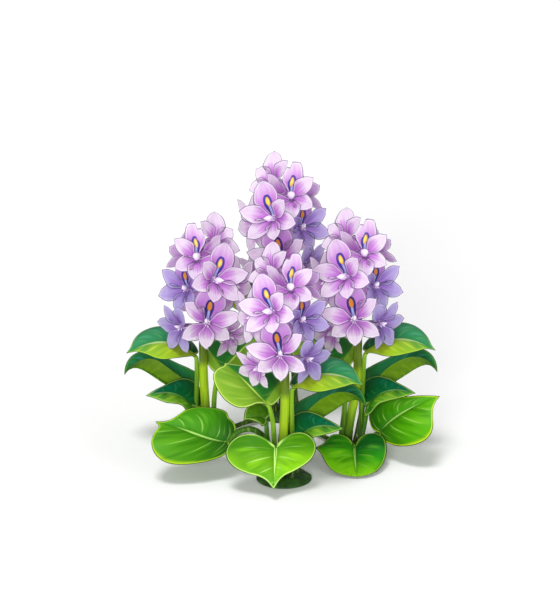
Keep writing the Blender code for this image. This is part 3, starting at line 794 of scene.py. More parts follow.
# %% Leaf materials
def blade_material(look_name):
    """The waxy upper side of a leaf blade."""
    look = LEAF_LOOKS[look_name]
    made, tree = new_material(f"waxy leaf skin, {look_name} leaf")
    sheet = sheet_map(tree)
    is_far = strength(tree, (sheet.signed, -0.03, 0.03))
    bent = bent_rows(tree, look, sheet)
    green = blade_greens(tree, look, sheet, is_far)
    green, patches = blade_patches(tree, look, sheet, bent, is_far, green)
    veins = blade_veins(tree, look, sheet, bent, patches)
    green = tint(tree, green, look["vein"], veins)
    # A painted highlight: a pale line beside the midrib where the near half turns down.
    green = tint(tree, green, "#e4f4c8", (sheet.signed, -0.20, -0.07), (sheet.signed, 0.02, -0.04),
                 (sheet.reach, 0.30, 0.55), (sheet.reach, 0.92, 0.75, look["crest"]))
    # The margin: a painted highlight as a pale rim where the blade thins, and a dark line at its very edge.
    green = tint(tree, green, look["rim"], (sheet.margin, *BLADE_RIM, look["rim_draw"]))
    green = tint(tree, green, OUTLINE_GREEN, (sheet.margin, *BLADE_OUTLINE, 0.9))
    # Wax lies unevenly, in patches of about 10 mm, and the cells under it are about 1 mm, drawn
    # coarser than real ones so that they show. Veins lie a little deeper than the skin.
    place = add(tree, "ShaderNodeTexCoord", result="Object")
    wax = add(tree, "ShaderNodeTexNoise", {"Vector": place, "Scale": 90.0, "Detail": 2.0})
    gloss = strength(tree, (wax, 0.3, 0.7, 0.48, 0.36))
    cells = add(tree, "ShaderNodeTexNoise", {"Vector": place, "Scale": 900.0, "Detail": 2.0})
    height = add(tree, "ShaderNodeMath", cells, 0.15, operation="MULTIPLY")
    height = add(tree, "ShaderNodeMath", veins, -0.8, height, operation="MULTIPLY_ADD")
    height = add(tree, "ShaderNodeMath", patches, 0.8, height, operation="MULTIPLY_ADD")
    return finish_material(made, {"Base Color": green, "Roughness": gloss, "IOR": 1.45,
                                  "Specular IOR Level": 0.12}, height, strongly=0.5, deep=0.4)


def underside_material(look_name):
    """The duller, more olive lower side of a blade, with the same painted pale rim and outline, but finer."""
    look = LEAF_LOOKS[look_name]
    made, tree = new_material(f"matt leaf underside, {look_name} leaf")
    sheet = sheet_map(tree)
    run = add(tree, "ShaderNodeMath", sheet.row, 14.0, operation="MULTIPLY")
    place = add(tree, "ShaderNodeCombineXYZ", sheet.signed, run)
    streaks = add(tree, "ShaderNodeTexNoise", {"Vector": place, "Scale": 1.3, "Detail": 3.0})
    green = tint(tree, look["below"], "#86a81c", (streaks, 0.35, 0.70, 0.3))
    green = tint(tree, green, look["under"], (sheet.reach, 0.62, 0.92, 0.75))
    # A painted highlight: the pale rim inside the margin.
    green = tint(tree, green, look["rim"], (sheet.margin, 1.4, 0.8, 0.5))
    green = tint(tree, green, OUTLINE_GREEN, (sheet.margin, 0.8, 0.4, 0.9))
    return finish_material(made, {"Base Color": green, "Roughness": 0.55, "Specular IOR Level": 0.15},
                           streaks, strongly=0.4, deep=0.4)


BLADE_MATERIALS = {name: (blade_material(name), underside_material(name)) for name in LEAF_LOOKS}
print(2 * len(BLADE_MATERIALS), "leaf materials")

# %% [markdown]
# ## Stalk materials
# Stalks are filled with spongy air tissue under a thin skin. In full light they are a bright
# yellow-green, and painted shade darkens them to olive down between the other stalks and up under
# the flowers. The stalks of low leaves get a copy with darker painted shade, and a flower stalk is
# painted a shaded violet inside its spike.
# Long fibres run with the stalk, so the noise is stretched along Z: in a metre there are 420 of
# them side by side, about 2.4 mm each, and 22 end to end. The attribute `along` that the stem
# tree stored runs from 0 at a stalk's foot to 1 at its top.

# %% Stalk materials
FIBRES = (420.0, 420.0, 22.0)  # in a metre, along X, Y and Z


def stalk_material(name, stops, roughness):
    """A fibrous skin with its colours from the foot (0) to the top (1)."""
    made, tree = new_material(name)
    along = add(tree, "ShaderNodeAttribute", result="Fac", attribute_name="along")
    place = add(tree, "ShaderNodeTexCoord", result="Object")
    run = add(tree, "ShaderNodeMapping", {"Vector": place, "Scale": FIBRES})
    fibres = add(tree, "ShaderNodeTexNoise", {"Vector": run, "Scale": 1.0, "Detail": 3.0})
    green = add(tree, "ShaderNodeValToRGB", along, stops=stops)
    green = tint(tree, green, "#c4dc3c", (fibres, 0.50, 0.75, 0.35))
    green = tint(tree, green, "#3b5c10", (fibres, 0.48, 0.25, 0.45))
    return finish_material(made, {"Base Color": green, "Roughness": roughness,
                                  "Specular IOR Level": 0.2}, fibres, strongly=0.5, deep=0.3)


# Painted shade: dark at the foot and in an olive band under the flowers, and a shaded violet inside the
# spike.
FLOWER_STALK = stalk_material(
    "flower stalk skin",
    [(0.0, "#1c3808"), (0.08, "#3c640a"), (0.16, "#6c9410"), (0.26, "#9cc018"), (0.38, "#98bc18"),
     (0.42, "#5c7818"), (0.55, "#4c5c18"), (0.64, "#7b5290")], 0.42)
LEAF_STALK = stalk_material(
    "leaf stalk skin", [(0.0, "#1c380a"), (0.22, "#3c680c"), (0.50, "#76a61c"), (1.0, "#8cba24")], 0.42)
# A copy with darker painted shade, for the stalks of the leaves that stand low.
SHADED_LEAF_STALK = stalk_material(
    "shaded leaf stalk skin",
    [(0.0, "#16300a"), (0.25, "#28540a"), (0.60, "#3c7410"), (1.0, "#4c8414")], 0.42)
FLOWER_TUBE = stalk_material(
    "flower tube skin", [(0.0, "#7fa04a"), (0.5, "#b59ac0"), (1.0, "#b67cc6")], 0.5)
RUNNER_SKIN = stalk_material("runner skin", [(0.0, "#1c3a0a"), (0.5, "#3f6314"), (1.0, "#1c3a0a")], 0.5)
print("stalk materials ready")

# %% [markdown]
# ## Making the leaves
# A leaf's form is written once and used in several rosettes, so it is first set in its place. It
# is turned over on the left one, and lifted where the rosette stands higher. A place on the blade
# is then a point of the midrib and a way out from it, on the fold of its half.

# %% Leaves in their places
BLADE_ROWS = 60
HALF_COLUMNS = 16
BLADE_THICKNESS = 1.0
THIN_SIDES, THIN_ENDS = 3, 6  # it thins over a third of each half, and a sixth of its length
SWELL = 0.07  # how high a half rises, in half widths
VEIN_RELIEF = 0.35  # how high a cell between two veins is
FULL_CELL_WIDTH = 15.0  # a half narrower than this has lower cells
MIDRIB_GROOVE, GROOVE_WIDTH = 0.7, 1.6
WAVE = 0.9  # how high the margin waves
WAVES = 2.2  # from the joint to the tip
WAVE_OFFSET = 2.1  # between the waves of one leaf and the next (radians)
FOOT_DEPTH = 0.6  # how deep a leaf stalk starts in its crown
FOOT_FLARE = 1.2  # how much thicker its foot is
STALK_STEPS, RIB_STEPS = 14, 12
RIB_REACH = 0.88  # the rib below the midrib ends here, as a share of the blade
RIB_TIP_RADIUS = 0.35
SUNLIT_STALKS = ("inner", "upper")  # the leaves that stand up into the light


def placed(form, rosette, raised):
    """The leaf form in this rosette, in world millimetres."""
    side = rosette["side"]
    crown = crown_place(rosette)
    lift = lift_of(rosette) if raised else Vector()

    def move(point, share=1.0):
        return crown + Vector((point[0] * side, point[1], point[2])) + lift * share

    angle = math.radians(form["root"])
    foot = Vector((math.cos(angle) * side, math.sin(angle), 0)) * LEAF_STALK_RING
    foot.z = CROWN_HEIGHT - FOOT_DEPTH
    low, high = form["stem"]
    midrib = [move(point) for point in form["midrib"]]
    left = Vector(form["facing"]).cross(Vector(form["midrib"][-1]) - Vector(form["midrib"][0]))
    far_is_left = (left.y < 0) == (side < 0)
    return {
        "stem": [crown + foot, move(low, 0.5), move(high), midrib[0]],
        "midrib": midrib,
        "facing": Vector((form["facing"][0] * side, *form["facing"][1:])).normalized(),
        "halves": [form["far"], form["near"]] if far_is_left else [form["near"], form["far"]],
        "far_sign": 1 if far_is_left else -1,
        "fan": form.get("fan", 1.0), "stalk": form.get("stalk", 1.0),
    }


def edge_of(half, span, s):
    """The outline at s (0 at the joint, 1 at the tip): along in lengths, and across in mm."""
    steps = [0.0]
    for (along0, across0), (along1, across1) in zip(half.trace, half.trace[1:]):
        steps.append(steps[-1] + math.hypot((along1 - along0) * span, across1 - across0))
    shares = [step / steps[-1] for step in steps]
    along = smooth_through([(share, point[0]) for share, point in zip(shares, half.trace)], s)
    across = smooth_through([(share, point[1]) for share, point in zip(shares, half.trace)], s)
    return along, max(across, 0.0)


def blade_place(leaf, along, across, height=0.0):
    """A place on the blade: on the midrib, out on its fold, and this high above it (mm)."""
    t = min(max(along, 0.0), 1.0)
    midrib = leaf["midrib"]
    tangent = bezier_slope(midrib, t).normalized()
    spine = bezier(midrib, t) + tangent * (along - t) * (midrib[-1] - midrib[0]).length
    normal = (leaf["facing"] - tangent * leaf["facing"].dot(tangent)).normalized()
    half = leaf["halves"][0 if across > 0 else 1]
    fold = math.radians(mix(half.fold_joint, half.fold_tip, t))
    outward = normal.cross(tangent) * math.copysign(1, across)
    run = outward * math.cos(fold) + normal * math.sin(fold)
    rise = normal * math.cos(fold) - outward * math.sin(fold)
    return spine + run * abs(across) + rise * height


print("leaf places ready")

# %% [markdown]
# A living blade is never flat. Each half swells up beside the sunken midrib, every cell between
# two veins is a little raised, and the margin waves. Sines laid over the flat half give all of
# this. The rows follow the veins out from the midrib, as they do in the colours, so that relief
# and colour agree.


# %% Relief and grid of a blade
def relief(width, veins, sweep, s, out, phase):
    """How far the upper side stands above the flat half blade, which is width wide here (mm)."""
    swell = SWELL * width * math.sin(math.pi * out ** 0.8) * math.sin(math.pi * min(s + 0.1, 1.0)) ** 0.5
    bent = s - sweep * out**VEIN_BEND
    cell = VEIN_RELIEF * abs(math.sin(math.pi * veins * bent)) * math.sin(math.pi * out)
    cell *= min(width / FULL_CELL_WIDTH, 1)
    groove = MIDRIB_GROOVE * math.exp(-(out * width / GROOVE_WIDTH) ** 2) * (1 - s) ** 0.3
    wave = WAVE * math.sin(2 * math.pi * WAVES * s + phase) * out**3 * math.sin(math.pi * s)
    return swell + cell - groove + wave


def blade_shell(leaf, veins, sweep, phase):
    """What the shell tool needs for this leaf's blade."""
    rows = [i / BLADE_ROWS for i in range(BLADE_ROWS + 1)]
    columns = [j / HALF_COLUMNS for j in range(-HALF_COLUMNS, HALF_COLUMNS + 1)]
    span = (leaf["midrib"][-1] - leaf["midrib"][0]).length
    places = np.empty((len(rows), len(columns), 3))
    uv = np.empty((len(rows), len(columns), 2))
    thickness = np.empty((len(rows), len(columns)))
    reach = np.empty((len(rows), len(columns)))
    for i, s in enumerate(rows):
        t = s ** leaf["fan"]
        edges = [edge_of(half, span, s) for half in leaf["halves"]]
        for j, u in enumerate(columns):
            out = abs(u)
            edge_along, edge_across = edges[0 if u > 0 else 1]
            along = t + (edge_along - t) * out * (2 - out)
            across = math.copysign(out * edge_across, u) if u else 0.0
            height = relief(edge_across, veins, sweep, s, out, phase + (u > 0))
            places[i, j] = blade_place(leaf, along, across, height)
            uv[i, j] = 0.5 + 0.5 * u * leaf["far_sign"], s
            thickness[i, j] = BLADE_THICKNESS * min(1.0, THIN_SIDES * (1 - out))
            thickness[i, j] *= min(1.0, THIN_ENDS * (1 - s), THIN_ENDS * s)
            reach[i, j] = along
    thickness[:, [0, -1]] = 0
    return places, uv, thickness, (places[:, 0], places[:, -1]), reach


print("a blade is a grid of", BLADE_ROWS, "by", 2 * HALF_COLUMNS, "cells on each side")

# %% [markdown]
# The leaf stalk is a stem from the crown to the joint. It runs on under the blade as a rib, so
# the leaf is right from below too. Blade and stalk grow as one, so their meshes are joined into
# one piece, which takes the place of its solid.


# %% Leaf stalks and whole pieces
def leaf_stalk(name, leaf, finish):
    """The leaf stalk from the crown, which runs on as a rib under the midrib."""
    neck = LEAF_STALK_NECK_RADIUS * leaf["stalk"]
    places = [bezier(leaf["stem"], i / STALK_STEPS) for i in range(STALK_STEPS)]
    radii = [mix(LEAF_STALK_FOOT_RADIUS, neck, i / STALK_STEPS) for i in range(STALK_STEPS)]
    # It leaves the crown nearly upright, so the second place is drawn in over the first.
    radii[0] += FOOT_FLARE
    places[1] = mix(places[1], Vector((places[0].x, places[0].y, places[1].z)), 0.5)
    for i in range(RIB_STEPS + 1):
        share = i / RIB_STEPS
        radius = mix(mix(neck, LEAF_STALK_NECK_RADIUS, min(4 * share, 1.0)), RIB_TIP_RADIUS, share ** 0.6)
        below = radius * 0.75 + MIDRIB_GROOVE
        places.append(blade_place(leaf, share * RIB_REACH, 0.0, -below))
        radii.append(radius)
    return stem(name, places, radii, finish, ridges=9, ridge_depth=0.035)


def join_meshes(name, meshes):
    """One mesh out of several, each with its own materials."""
    parts = [object_of(name + "_part", mesh) for mesh in meshes]
    with bpy.context.temp_override(active_object=parts[0], selected_editable_objects=parts):
        bpy.ops.object.join()
    whole = parts[0].data
    bpy.data.objects.remove(parts[0])
    whole.name = name
    return whole


def finish_piece(name, mesh, node):
    """Sets the mesh in the place of its solid, and hides the solid."""
    piece = object_of(name, mesh)
    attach(piece, "root")
    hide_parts(node)
    return piece


print("piece tools ready")

# %% [markdown]
# With these tools every leaf is a few lines. The margins' waves start at another place on each
# leaf, as no two leaves of a plant wave alike.

# %% All leaves
for rosette_name, leaves in LEAVES.items():
    for number, (leaf_name, (form, raised, look)) in enumerate(leaves.items()):
        leaf = placed(form, ROSETTES[rosette_name], raised)
        closed = shell(*blade_shell(leaf, LEAF_LOOKS[look]["veins"], LEAF_LOOKS[look]["sweep"],
                                    WAVE_OFFSET * number))
        bmesh.ops.recalc_face_normals(closed, faces=closed.faces)
        name = f"{rosette_name}_{leaf_name}_leaf"
        blade = mesh_from(name, closed, BLADE_MATERIALS[look])
        skin = LEAF_STALK if leaf_name in SUNLIT_STALKS else SHADED_LEAF_STALK
        whole = join_meshes(name, [blade, leaf_stalk(name + "_stalk", leaf, skin)])
        finish_piece(name, whole, f"{rosette_name}_leaf_{leaf_name}")
    print(rosette_name, "leaves made")

# %% [markdown]
# ## Petals
# A water hyacinth flower has six petals that are joined into a funnel at their bases. They are
# thin and soft, broad with a pointed tip, with a crease down the middle and a waved margin. The
# top one, the banner, is the widest and carries the yellow eye. One petal and one banner are
# modelled in the flower's own directions (right, towards the banner, and out of the flower),
# and each flower then sets them round its middle with small turns of their own.

# %% Petal shape (mm from the flower's middle, for a flower of 0.9 of full size)
PETALS = 6
NOMINAL_SIZE = 0.9
THROAT_RADIUS = 3.2
PETAL_LENGTH = 41.0 * NOMINAL_SIZE - THROAT_RADIUS
PETAL_WIDTH = 22.0 * NOMINAL_SIZE
BANNER_WIDTH = 28.0 * NOMINAL_SIZE
PETAL_OUTLINE = ((0.0, 0.22), (0.12, 0.46), (0.26, 0.76), (0.40, 0.95), (0.54, 1.0), (0.68, 0.91),
                 (0.80, 0.68), (0.90, 0.38), (0.96, 0.16), (1.0, 0.0))  # share of length, of width
BANNER_OUTLINE = ((0.0, 0.22), (0.12, 0.46), (0.26, 0.76), (0.40, 0.93), (0.54, 1.0), (0.68, 0.96),
                  (0.80, 0.80), (0.90, 0.55), (0.96, 0.32), (1.0, 0.0))
LOBED_OUTLINE = ((0.0, 0.22), (0.12, 0.46), (0.26, 0.72), (0.40, 0.84), (0.54, 0.90), (0.70, 0.94),
                 (0.85, 0.90), (1.0, 0.78))
FUNNEL_ANGLE = 38.0  # degrees between the flower's axis and the funnel's wall
FUNNEL_SHARE = 0.45  # the petal bends over along this share of its length
SPREAD = 66.0
CURL_BACK = 1.12  # the outer part stands this much further out than the spread
PETAL_THICKNESS = 0.6
OVERLAP = 1.25  # a petal may be this much wider than its sixth of the flower
IN_FRONT = 2.5  # degrees that every second petal leans forward, and the others back
CREASE, CREASE_WIDTH = 0.5, 1.2
RIPPLES = 2.3  # of the margin, from the throat to the tip
PETAL_ROWS = 22
PETAL_COLUMNS = 12


def petal_path(along):
    """How far out from the axis and how far forward a petal's middle is, at along (0 to 1)."""
    out, ahead, steps = THROAT_RADIUS, 0.0, 40  # summed up in short straight steps
    for i in range(steps):
        t = (i + 0.5) / steps
        if t > along:
            break
        angle = math.radians(mix(FUNNEL_ANGLE, SPREAD * CURL_BACK, min(t / FUNNEL_SHARE, 1.0)))
        out += math.sin(angle) * PETAL_LENGTH / steps
        ahead += math.cos(angle) * PETAL_LENGTH / steps
    return out, ahead


def lobed_reach(u):
    """How long a two-lobed banner is at u (-1 to 1 across), as a share of a plain one."""
    return 1.0 + 0.20 * u - 0.28 * abs(u)**3 - 0.17 * math.exp(-((u + 0.22) / 0.16) ** 2)


def petal_shell(width, cup, wave, outline, lobes=0):
    """A petal that points along Y and faces Z. cup lifts its sides, and wave its margin. lobes
    is 1 or -1 for a banner with two lobes, where the longer one is at the right or left."""
    rows = [i / PETAL_ROWS for i in range(PETAL_ROWS + 1)]
    columns = [1 - 2 * j / PETAL_COLUMNS for j in range(PETAL_COLUMNS + 1)]
    places = np.empty((len(rows), len(columns), 3))
    uv = np.empty((len(rows), len(columns), 2))
    thickness = np.empty((len(rows), len(columns)))
    for i, t in enumerate(rows):
        for j, u in enumerate(columns):
            out, ahead = petal_path(t * lobed_reach(u * lobes) if lobes else t)
            half_width = min(out * math.pi / PETALS * OVERLAP, width / 2 * smooth_through(outline, t))
            half_width = max(half_width, 0.0)
            angle = u * half_width / out
            lift = cup * half_width * u * u * math.sin(math.pi * min(t * 1.1, 1.0))
            crease = CREASE * math.exp(-(u * half_width / CREASE_WIDTH) ** 2) * math.sin(math.pi * t)
            ripple = wave * math.sin(2 * math.pi * RIPPLES * t + 2 * (u > 0)) * abs(u) ** 3
            places[i, j] = (out * math.sin(angle), out * math.cos(angle),
                            ahead + lift - crease + ripple * math.sin(math.pi * t))
            uv[i, j] = 0.5 + 0.5 * u, t
            thickness[i, j] = PETAL_THICKNESS * min(1.0, THIN_SIDES * (1 - abs(u)))
            thickness[i, j] *= min(1.0, THIN_ENDS * (1 - t))
    thickness[:, [0, -1]] = 0
    thickness[-1] = 0
    return places, uv, thickness, (places[:, 0], places[:, -1], places[-1])


def part_object(name, made):
    return object_of(name, mesh_from(name, made, []))


PETAL = part_object("petal form", shell(*petal_shell(PETAL_WIDTH, 0.20, 0.7, PETAL_OUTLINE)))
BANNER = part_object("banner form", shell(*petal_shell(BANNER_WIDTH, 0.12, 0.6, BANNER_OUTLINE)))
LOBED_BANNERS = {lobes: part_object("two-lobed banner form",
                                    shell(*petal_shell(BANNER_WIDTH, 0.12, 0.4, LOBED_OUTLINE, lobes)))
                 for lobes in (1, -1)}
print("a petal has", len(PETAL.data.polygons), "faces")

# %% [markdown]
# ## Petal material
# The petal's skin is made of tiny domed cells that scatter light, so it looks soft and never
# shiny. The violet sap colour is strongest at the throat, runs out along fine branching veins,
# and leaves the outer part nearly white. The margin is drawn by a fine darker line. The banner
# has a yellow honey guide in a dark blue ring, which is drawn in millimetres from the middle.
# Some flowers stand in the shade of others, so each colour has a lit and a shaded one.

# %% Sap and honey guide
HALF_BANNER = (0.6, 20.0)  # mm: half a banner's width at the throat, and what it grows along it
EYE_MIDDLE = 0.42  # where along the banner, as a share of its length
EYE_HALF_WIDTH, EYE_HALF_HEIGHT = 4.7, 0.19  # mm, and a share of the length
YELLOW_HALF_WIDTH, YELLOW_HALF_HEIGHT = 2.3, 0.125
EYE_AT_THROAT = 0.35  # how wide the ring still is there, as a share
PETAL_RIM = (2.6, 1.3)  # the painted pale rim, in mm from the margin: where it starts, and where it is full
PETAL_LINE = (1.2, 0.7)


def petal_strokes(tree, sheet, banner):
    """Soft strokes that fan out from the throat, and are weaker on a banner."""
    place = add(tree, "ShaderNodeCombineXYZ", sheet.signed, sheet.row, banner)
    fan = add(tree, "ShaderNodeVectorMath", place, (4.5, 0.9, 3.0), operation="MULTIPLY")
    strokes = add(tree, "ShaderNodeTexNoise", {"Vector": fan, "Scale": 1.0, "Detail": 2.0,
                                               "Roughness": 0.6})
    off = add(tree, "ShaderNodeMath", strokes, 0.5, operation="SUBTRACT")
    kept = strength(tree, (banner, 0.0, 0.3, 0.2, 1.0))
    return add(tree, "ShaderNodeMath", off, kept, 0.5, operation="MULTIPLY_ADD")


def with_sap(tree, sheet, banner, strokes, lilac, sap):
    """Sap in the petal: from the throat, where each stroke ends at its own distance, and along
    hair-fine veins, which a banner does not show."""
    own = strength(tree, (strokes, 0.30, 0.70, 0.45))
    further = strength(tree, (banner, 0.0, 0.3, 0.3))
    end = add(tree, "ShaderNodeMath", own, further, operation="ADD")
    past = add(tree, "ShaderNodeMath", sheet.row, end, operation="SUBTRACT")
    lilac = tint(tree, lilac, sap, (past, 0.50, -0.05, 0.75))
    place = add(tree, "ShaderNodeCombineXYZ", sheet.signed, sheet.row)
    fan = add(tree, "ShaderNodeVectorMath", place, (11.0, 1.2, 0.0), operation="MULTIPLY")
    veins = add(tree, "ShaderNodeTexNoise", {"Vector": fan, "Scale": 1.0, "Detail": 1.0})
    return tint(tree, lilac, sap, (veins, 0.54, 0.70), (sheet.row, 0.85, 0.20, 0.45),
                (banner, 0.3, 0.0))


def with_honey_guide(tree, sheet, banner, front, eye_in_shade, lilac):
    """A blue ring that tapers to the throat, with a light streak and the yellow eye inside it."""
    half = add(tree, "ShaderNodeMath", sheet.row, HALF_BANNER[1], HALF_BANNER[0],
               operation="MULTIPLY_ADD")
    size = add(tree, "ShaderNodeAttribute", result="Vector", attribute_name="size")
    widened = add(tree, "ShaderNodeSeparateXYZ", size)
    half = add(tree, "ShaderNodeMath", half, widened, operation="MULTIPLY")
    aside = add(tree, "ShaderNodeMath", sheet.out, half, operation="MULTIPLY")
    up = add(tree, "ShaderNodeMath", sheet.row, EYE_MIDDLE, operation="SUBTRACT")

    taper = strength(tree, (sheet.row, 0.0, EYE_MIDDLE, EYE_HALF_WIDTH, EYE_AT_THROAT * EYE_HALF_WIDTH))
    across = add(tree, "ShaderNodeMath", aside, taper, operation="DIVIDE")
    above = add(tree, "ShaderNodeMath", up, EYE_HALF_HEIGHT, operation="DIVIDE")
    above = add(tree, "ShaderNodeMath", above, 0.0, operation="MAXIMUM")
    off = add(tree, "ShaderNodeCombineXYZ", across, above)
    off = add(tree, "ShaderNodeVectorMath", off, operation="LENGTH")
    ring = strength(tree, (off, 1.06, 0.94), (banner, 0.1, 0.4), front)
    blue = add(tree, "ShaderNodeValToRGB", sheet.row, stops=[(0.1, "#20145c"), (0.5, "#262c90")])
    # A darker ring where the eye is in painted shade.
    blue = tint(tree, blue, "#201858", eye_in_shade)
    lilac = tint(tree, lilac, blue, ring)
    lilac = tint(tree, lilac, "#9aa2e6", (aside, 1.5, 0.8), (sheet.row, 0.33, 0.27), ring)

    off = add(tree, "ShaderNodeCombineXYZ", aside, up)
    off = add(tree, "ShaderNodeVectorMath", off, (YELLOW_HALF_WIDTH, YELLOW_HALF_HEIGHT, 1.0),
              operation="DIVIDE")
    squared = add(tree, "ShaderNodeVectorMath", off, off, operation="DOT_PRODUCT")
    # Yellow eye, orange at its rim with a painted highlight in its middle, orange-brown in painted shade.
    yellow = tint(tree, "#f2a41a", "#ffe052", (squared, 0.9, 0.1))
    yellow = tint(tree, yellow, "#cf7a16", eye_in_shade)
    return tint(tree, lilac, yellow, (squared, 1.15, 0.85), ring)


print("petal recipes ready")

# %% [markdown]
# The skin is built up from below: the pale tissue, the sap in its veins, painted shade along the
# crease, the margin with a painted pale rim and a violet line, and the guide on top. Stamens and
# the pistil are firmer and smoother, and take their violet from the throat that they stand in.


# %% Flower materials
def petal_material():
    """Soft lilac skin: violet sap, painted crease shade, a painted pale rim, a violet line, the guide."""
    made, tree = new_material("soft petal skin with a honey guide")
    sheet = sheet_map(tree)
    shade, banner, underside = (add(tree, "ShaderNodeAttribute", result="Fac", attribute_name=name)
                                for name in ("shade", "eye", "underside"))
    front = add(tree, "ShaderNodeMath", 1.0, underside, operation="SUBTRACT")
    # Where eye is 0.5, the banner and its eye are painted in shade.
    eye_in_shade = strength(tree, (banner, 1.0, 0.6))
    strokes = petal_strokes(tree, sheet, banner)

    lit = add(tree, "ShaderNodeValToRGB", sheet.row,
              stops=[(0.0, "#8c42a8"), (0.18, "#b474c8"), (0.40, "#d4a0de"), (0.62, "#e8caec"),
                     (0.86, "#e4bee8"), (1.0, "#dcb0e4")])
    dim = add(tree, "ShaderNodeValToRGB", sheet.row,
              stops=[(0.0, "#5c3e90"), (0.22, "#7a66ac"), (0.50, "#887ec0"), (1.0, "#9088c8")])
    lilac = tint(tree, lit, dim, shade)
    sap = tint(tree, "#ac58c0", "#6448a0", shade)
    lilac = with_sap(tree, sheet, banner, strokes, lilac, sap)
    # Painted shade along the crease down the middle of each petal.
    crease = tint(tree, "#a760c2", "#5f4894", shade)
    lilac = tint(tree, lilac, crease, (sheet.out, 0.07, 0.02), (sheet.row, 0.80, 0.20, 0.55))
    back = tint(tree, "#bd86d2", "#8f7cc0", shade)
    lilac = tint(tree, lilac, back, underside, 0.55)
    # A painted highlight: the pale rim inside the margin, with its shaded copy.
    rim = tint(tree, "#fbeefe", "#b6acde", shade)
    lilac = tint(tree, lilac, rim, (sheet.margin, *PETAL_RIM, 0.5))
    line = tint(tree, "#5a1c80", "#2e2078", shade)
    lilac = tint(tree, lilac, line, (sheet.margin, *PETAL_LINE, 0.95))
    # Painted shade on a banner whose eye is in shade.
    lilac = tint(tree, lilac, "#a868c0", eye_in_shade, (banner, 0.1, 0.4, 0.55))
    lilac = with_honey_guide(tree, sheet, banner, front, eye_in_shade, lilac)
    place = add(tree, "ShaderNodeTexCoord", result="Object")
    cells = add(tree, "ShaderNodeTexNoise", {"Vector": place, "Scale": 1400.0, "Detail": 1.0})
    height = add(tree, "ShaderNodeMath", cells, 0.12, operation="MULTIPLY")
    height = add(tree, "ShaderNodeMath", strokes, 1.2, height, operation="MULTIPLY_ADD")
    # Light goes some millimetres into the soft tissue, and green is lost first on the way.
    return finish_material(made, {"Base Color": lilac, "Roughness": 0.62, "Specular IOR Level": 0.3,
                                  "Subsurface Weight": 0.6, "Subsurface Radius": (1.0, 0.6, 1.0),
                                  "Subsurface Scale": 7 * MM}, height, strongly=0.35, deep=0.35)


def stamen_material():
    """Pale, slightly waxy threads and the rounded stigma, violet where they leave the throat."""
    made, tree = new_material("white stamen and pistil skin")
    along = add(tree, "ShaderNodeAttribute", result="Fac", attribute_name="along")
    place = add(tree, "ShaderNodeTexCoord", result="Object")
    grain = add(tree, "ShaderNodeTexNoise", {"Vector": place, "Scale": 700.0, "Detail": 2.0})
    white = add(tree, "ShaderNodeValToRGB", along,
                stops=[(0.0, "#a878be"), (0.35, "#d4bce4"), (0.75, "#f4eaf8")])
    white = tint(tree, white, "#cdb2de", (grain, 0.52, 0.75, 0.25))
    return finish_material(made, {"Base Color": white, "Roughness": 0.40}, grain, strongly=0.4, deep=0.2)


PETAL_SKIN = petal_material()
STAMEN_SKIN = stamen_material()
print("flower materials ready")

# %% [markdown]
# ## Setting parts round a flower
# Petals and stamens are repeats of one form round an axis, which is what instancing is for. A
# flower starts as a handful of points that all lie in its middle. Each point says how its part
# is turned and stretched, and whether it is the first one, the banner.


# %% Geometry Nodes: parts round a flower's middle
def ring_tree():
    tree = new_tree("Parts round a flower")
    node_input(tree, "Part", "NodeSocketObject")
    node_input(tree, "First Part", "NodeSocketObject")
    node_input(tree, "Finish", "NodeSocketMaterial")
    given = add(tree, "NodeGroupInput").node.outputs
    first, turn, size = (
        add(tree, "GeometryNodeInputNamedAttribute", {"Name": name}, data_type=kind)
        for name, kind in (("first", "FLOAT"), ("turn", "FLOAT_VECTOR"), ("size", "FLOAT_VECTOR")))
    is_first = add(tree, "FunctionNodeCompare", first, 0.5, data_type="FLOAT", operation="GREATER_THAN")
    is_other = add(tree, "FunctionNodeBooleanMath", is_first, operation="NOT")
    together = add(tree, "GeometryNodeJoinGeometry")
    for part, chosen in (("First Part", is_first), ("Part", is_other)):
        form = add(tree, "GeometryNodeObjectInfo", {"Object": given[part]}, result="Geometry")
        set_round = add(tree, "GeometryNodeInstanceOnPoints",
                        {"Points": given["Geometry"], "Selection": chosen, "Instance": form,
                         "Rotation": turn, "Scale": size})
        tree.links.new(set_round, together.node.inputs["Geometry"])
    end_tree(tree, together, given["Finish"])
    return tree


RING_TREE = ring_tree()


def ring(name, points, shade, part, first_part, finish):
    """points: a (turn, size, eye) for each part, where any eye makes it the banner."""
    mesh = bpy.data.meshes.new(name)
    mesh.from_pydata([(0, 0, 0)] * len(points), [], [])
    for layer, kind in (("turn", "FLOAT_VECTOR"), ("size", "FLOAT_VECTOR"), ("first", "FLOAT"),
                        ("eye", "FLOAT"), ("shade", "FLOAT")):
        mesh.attributes.new(layer, kind, "POINT")
    for i, (turn, size, eye) in enumerate(points):
        mesh.attributes["turn"].data[i].vector = turn
        mesh.attributes["size"].data[i].vector = size
        mesh.attributes["first"].data[i].value = eye is not None
        mesh.attributes["eye"].data[i].value = eye or 0.0
        mesh.attributes["shade"].data[i].value = shade
    return realised(object_of(name, mesh), RING_TREE,
                    {"Part": part, "First Part": first_part, "Finish": finish})


print("ring tree:", len(RING_TREE.nodes), "nodes")

# %% [markdown]
# ## Stamens, pistil and tube
# In each throat stand six thin stamens, three long and three short, round one thick white
# pistil with a rounded end. The stamens are repeats and come from the same ring tree. The tube
# behind the flower is a stem that runs back to the flower stalk and turns green on the way.

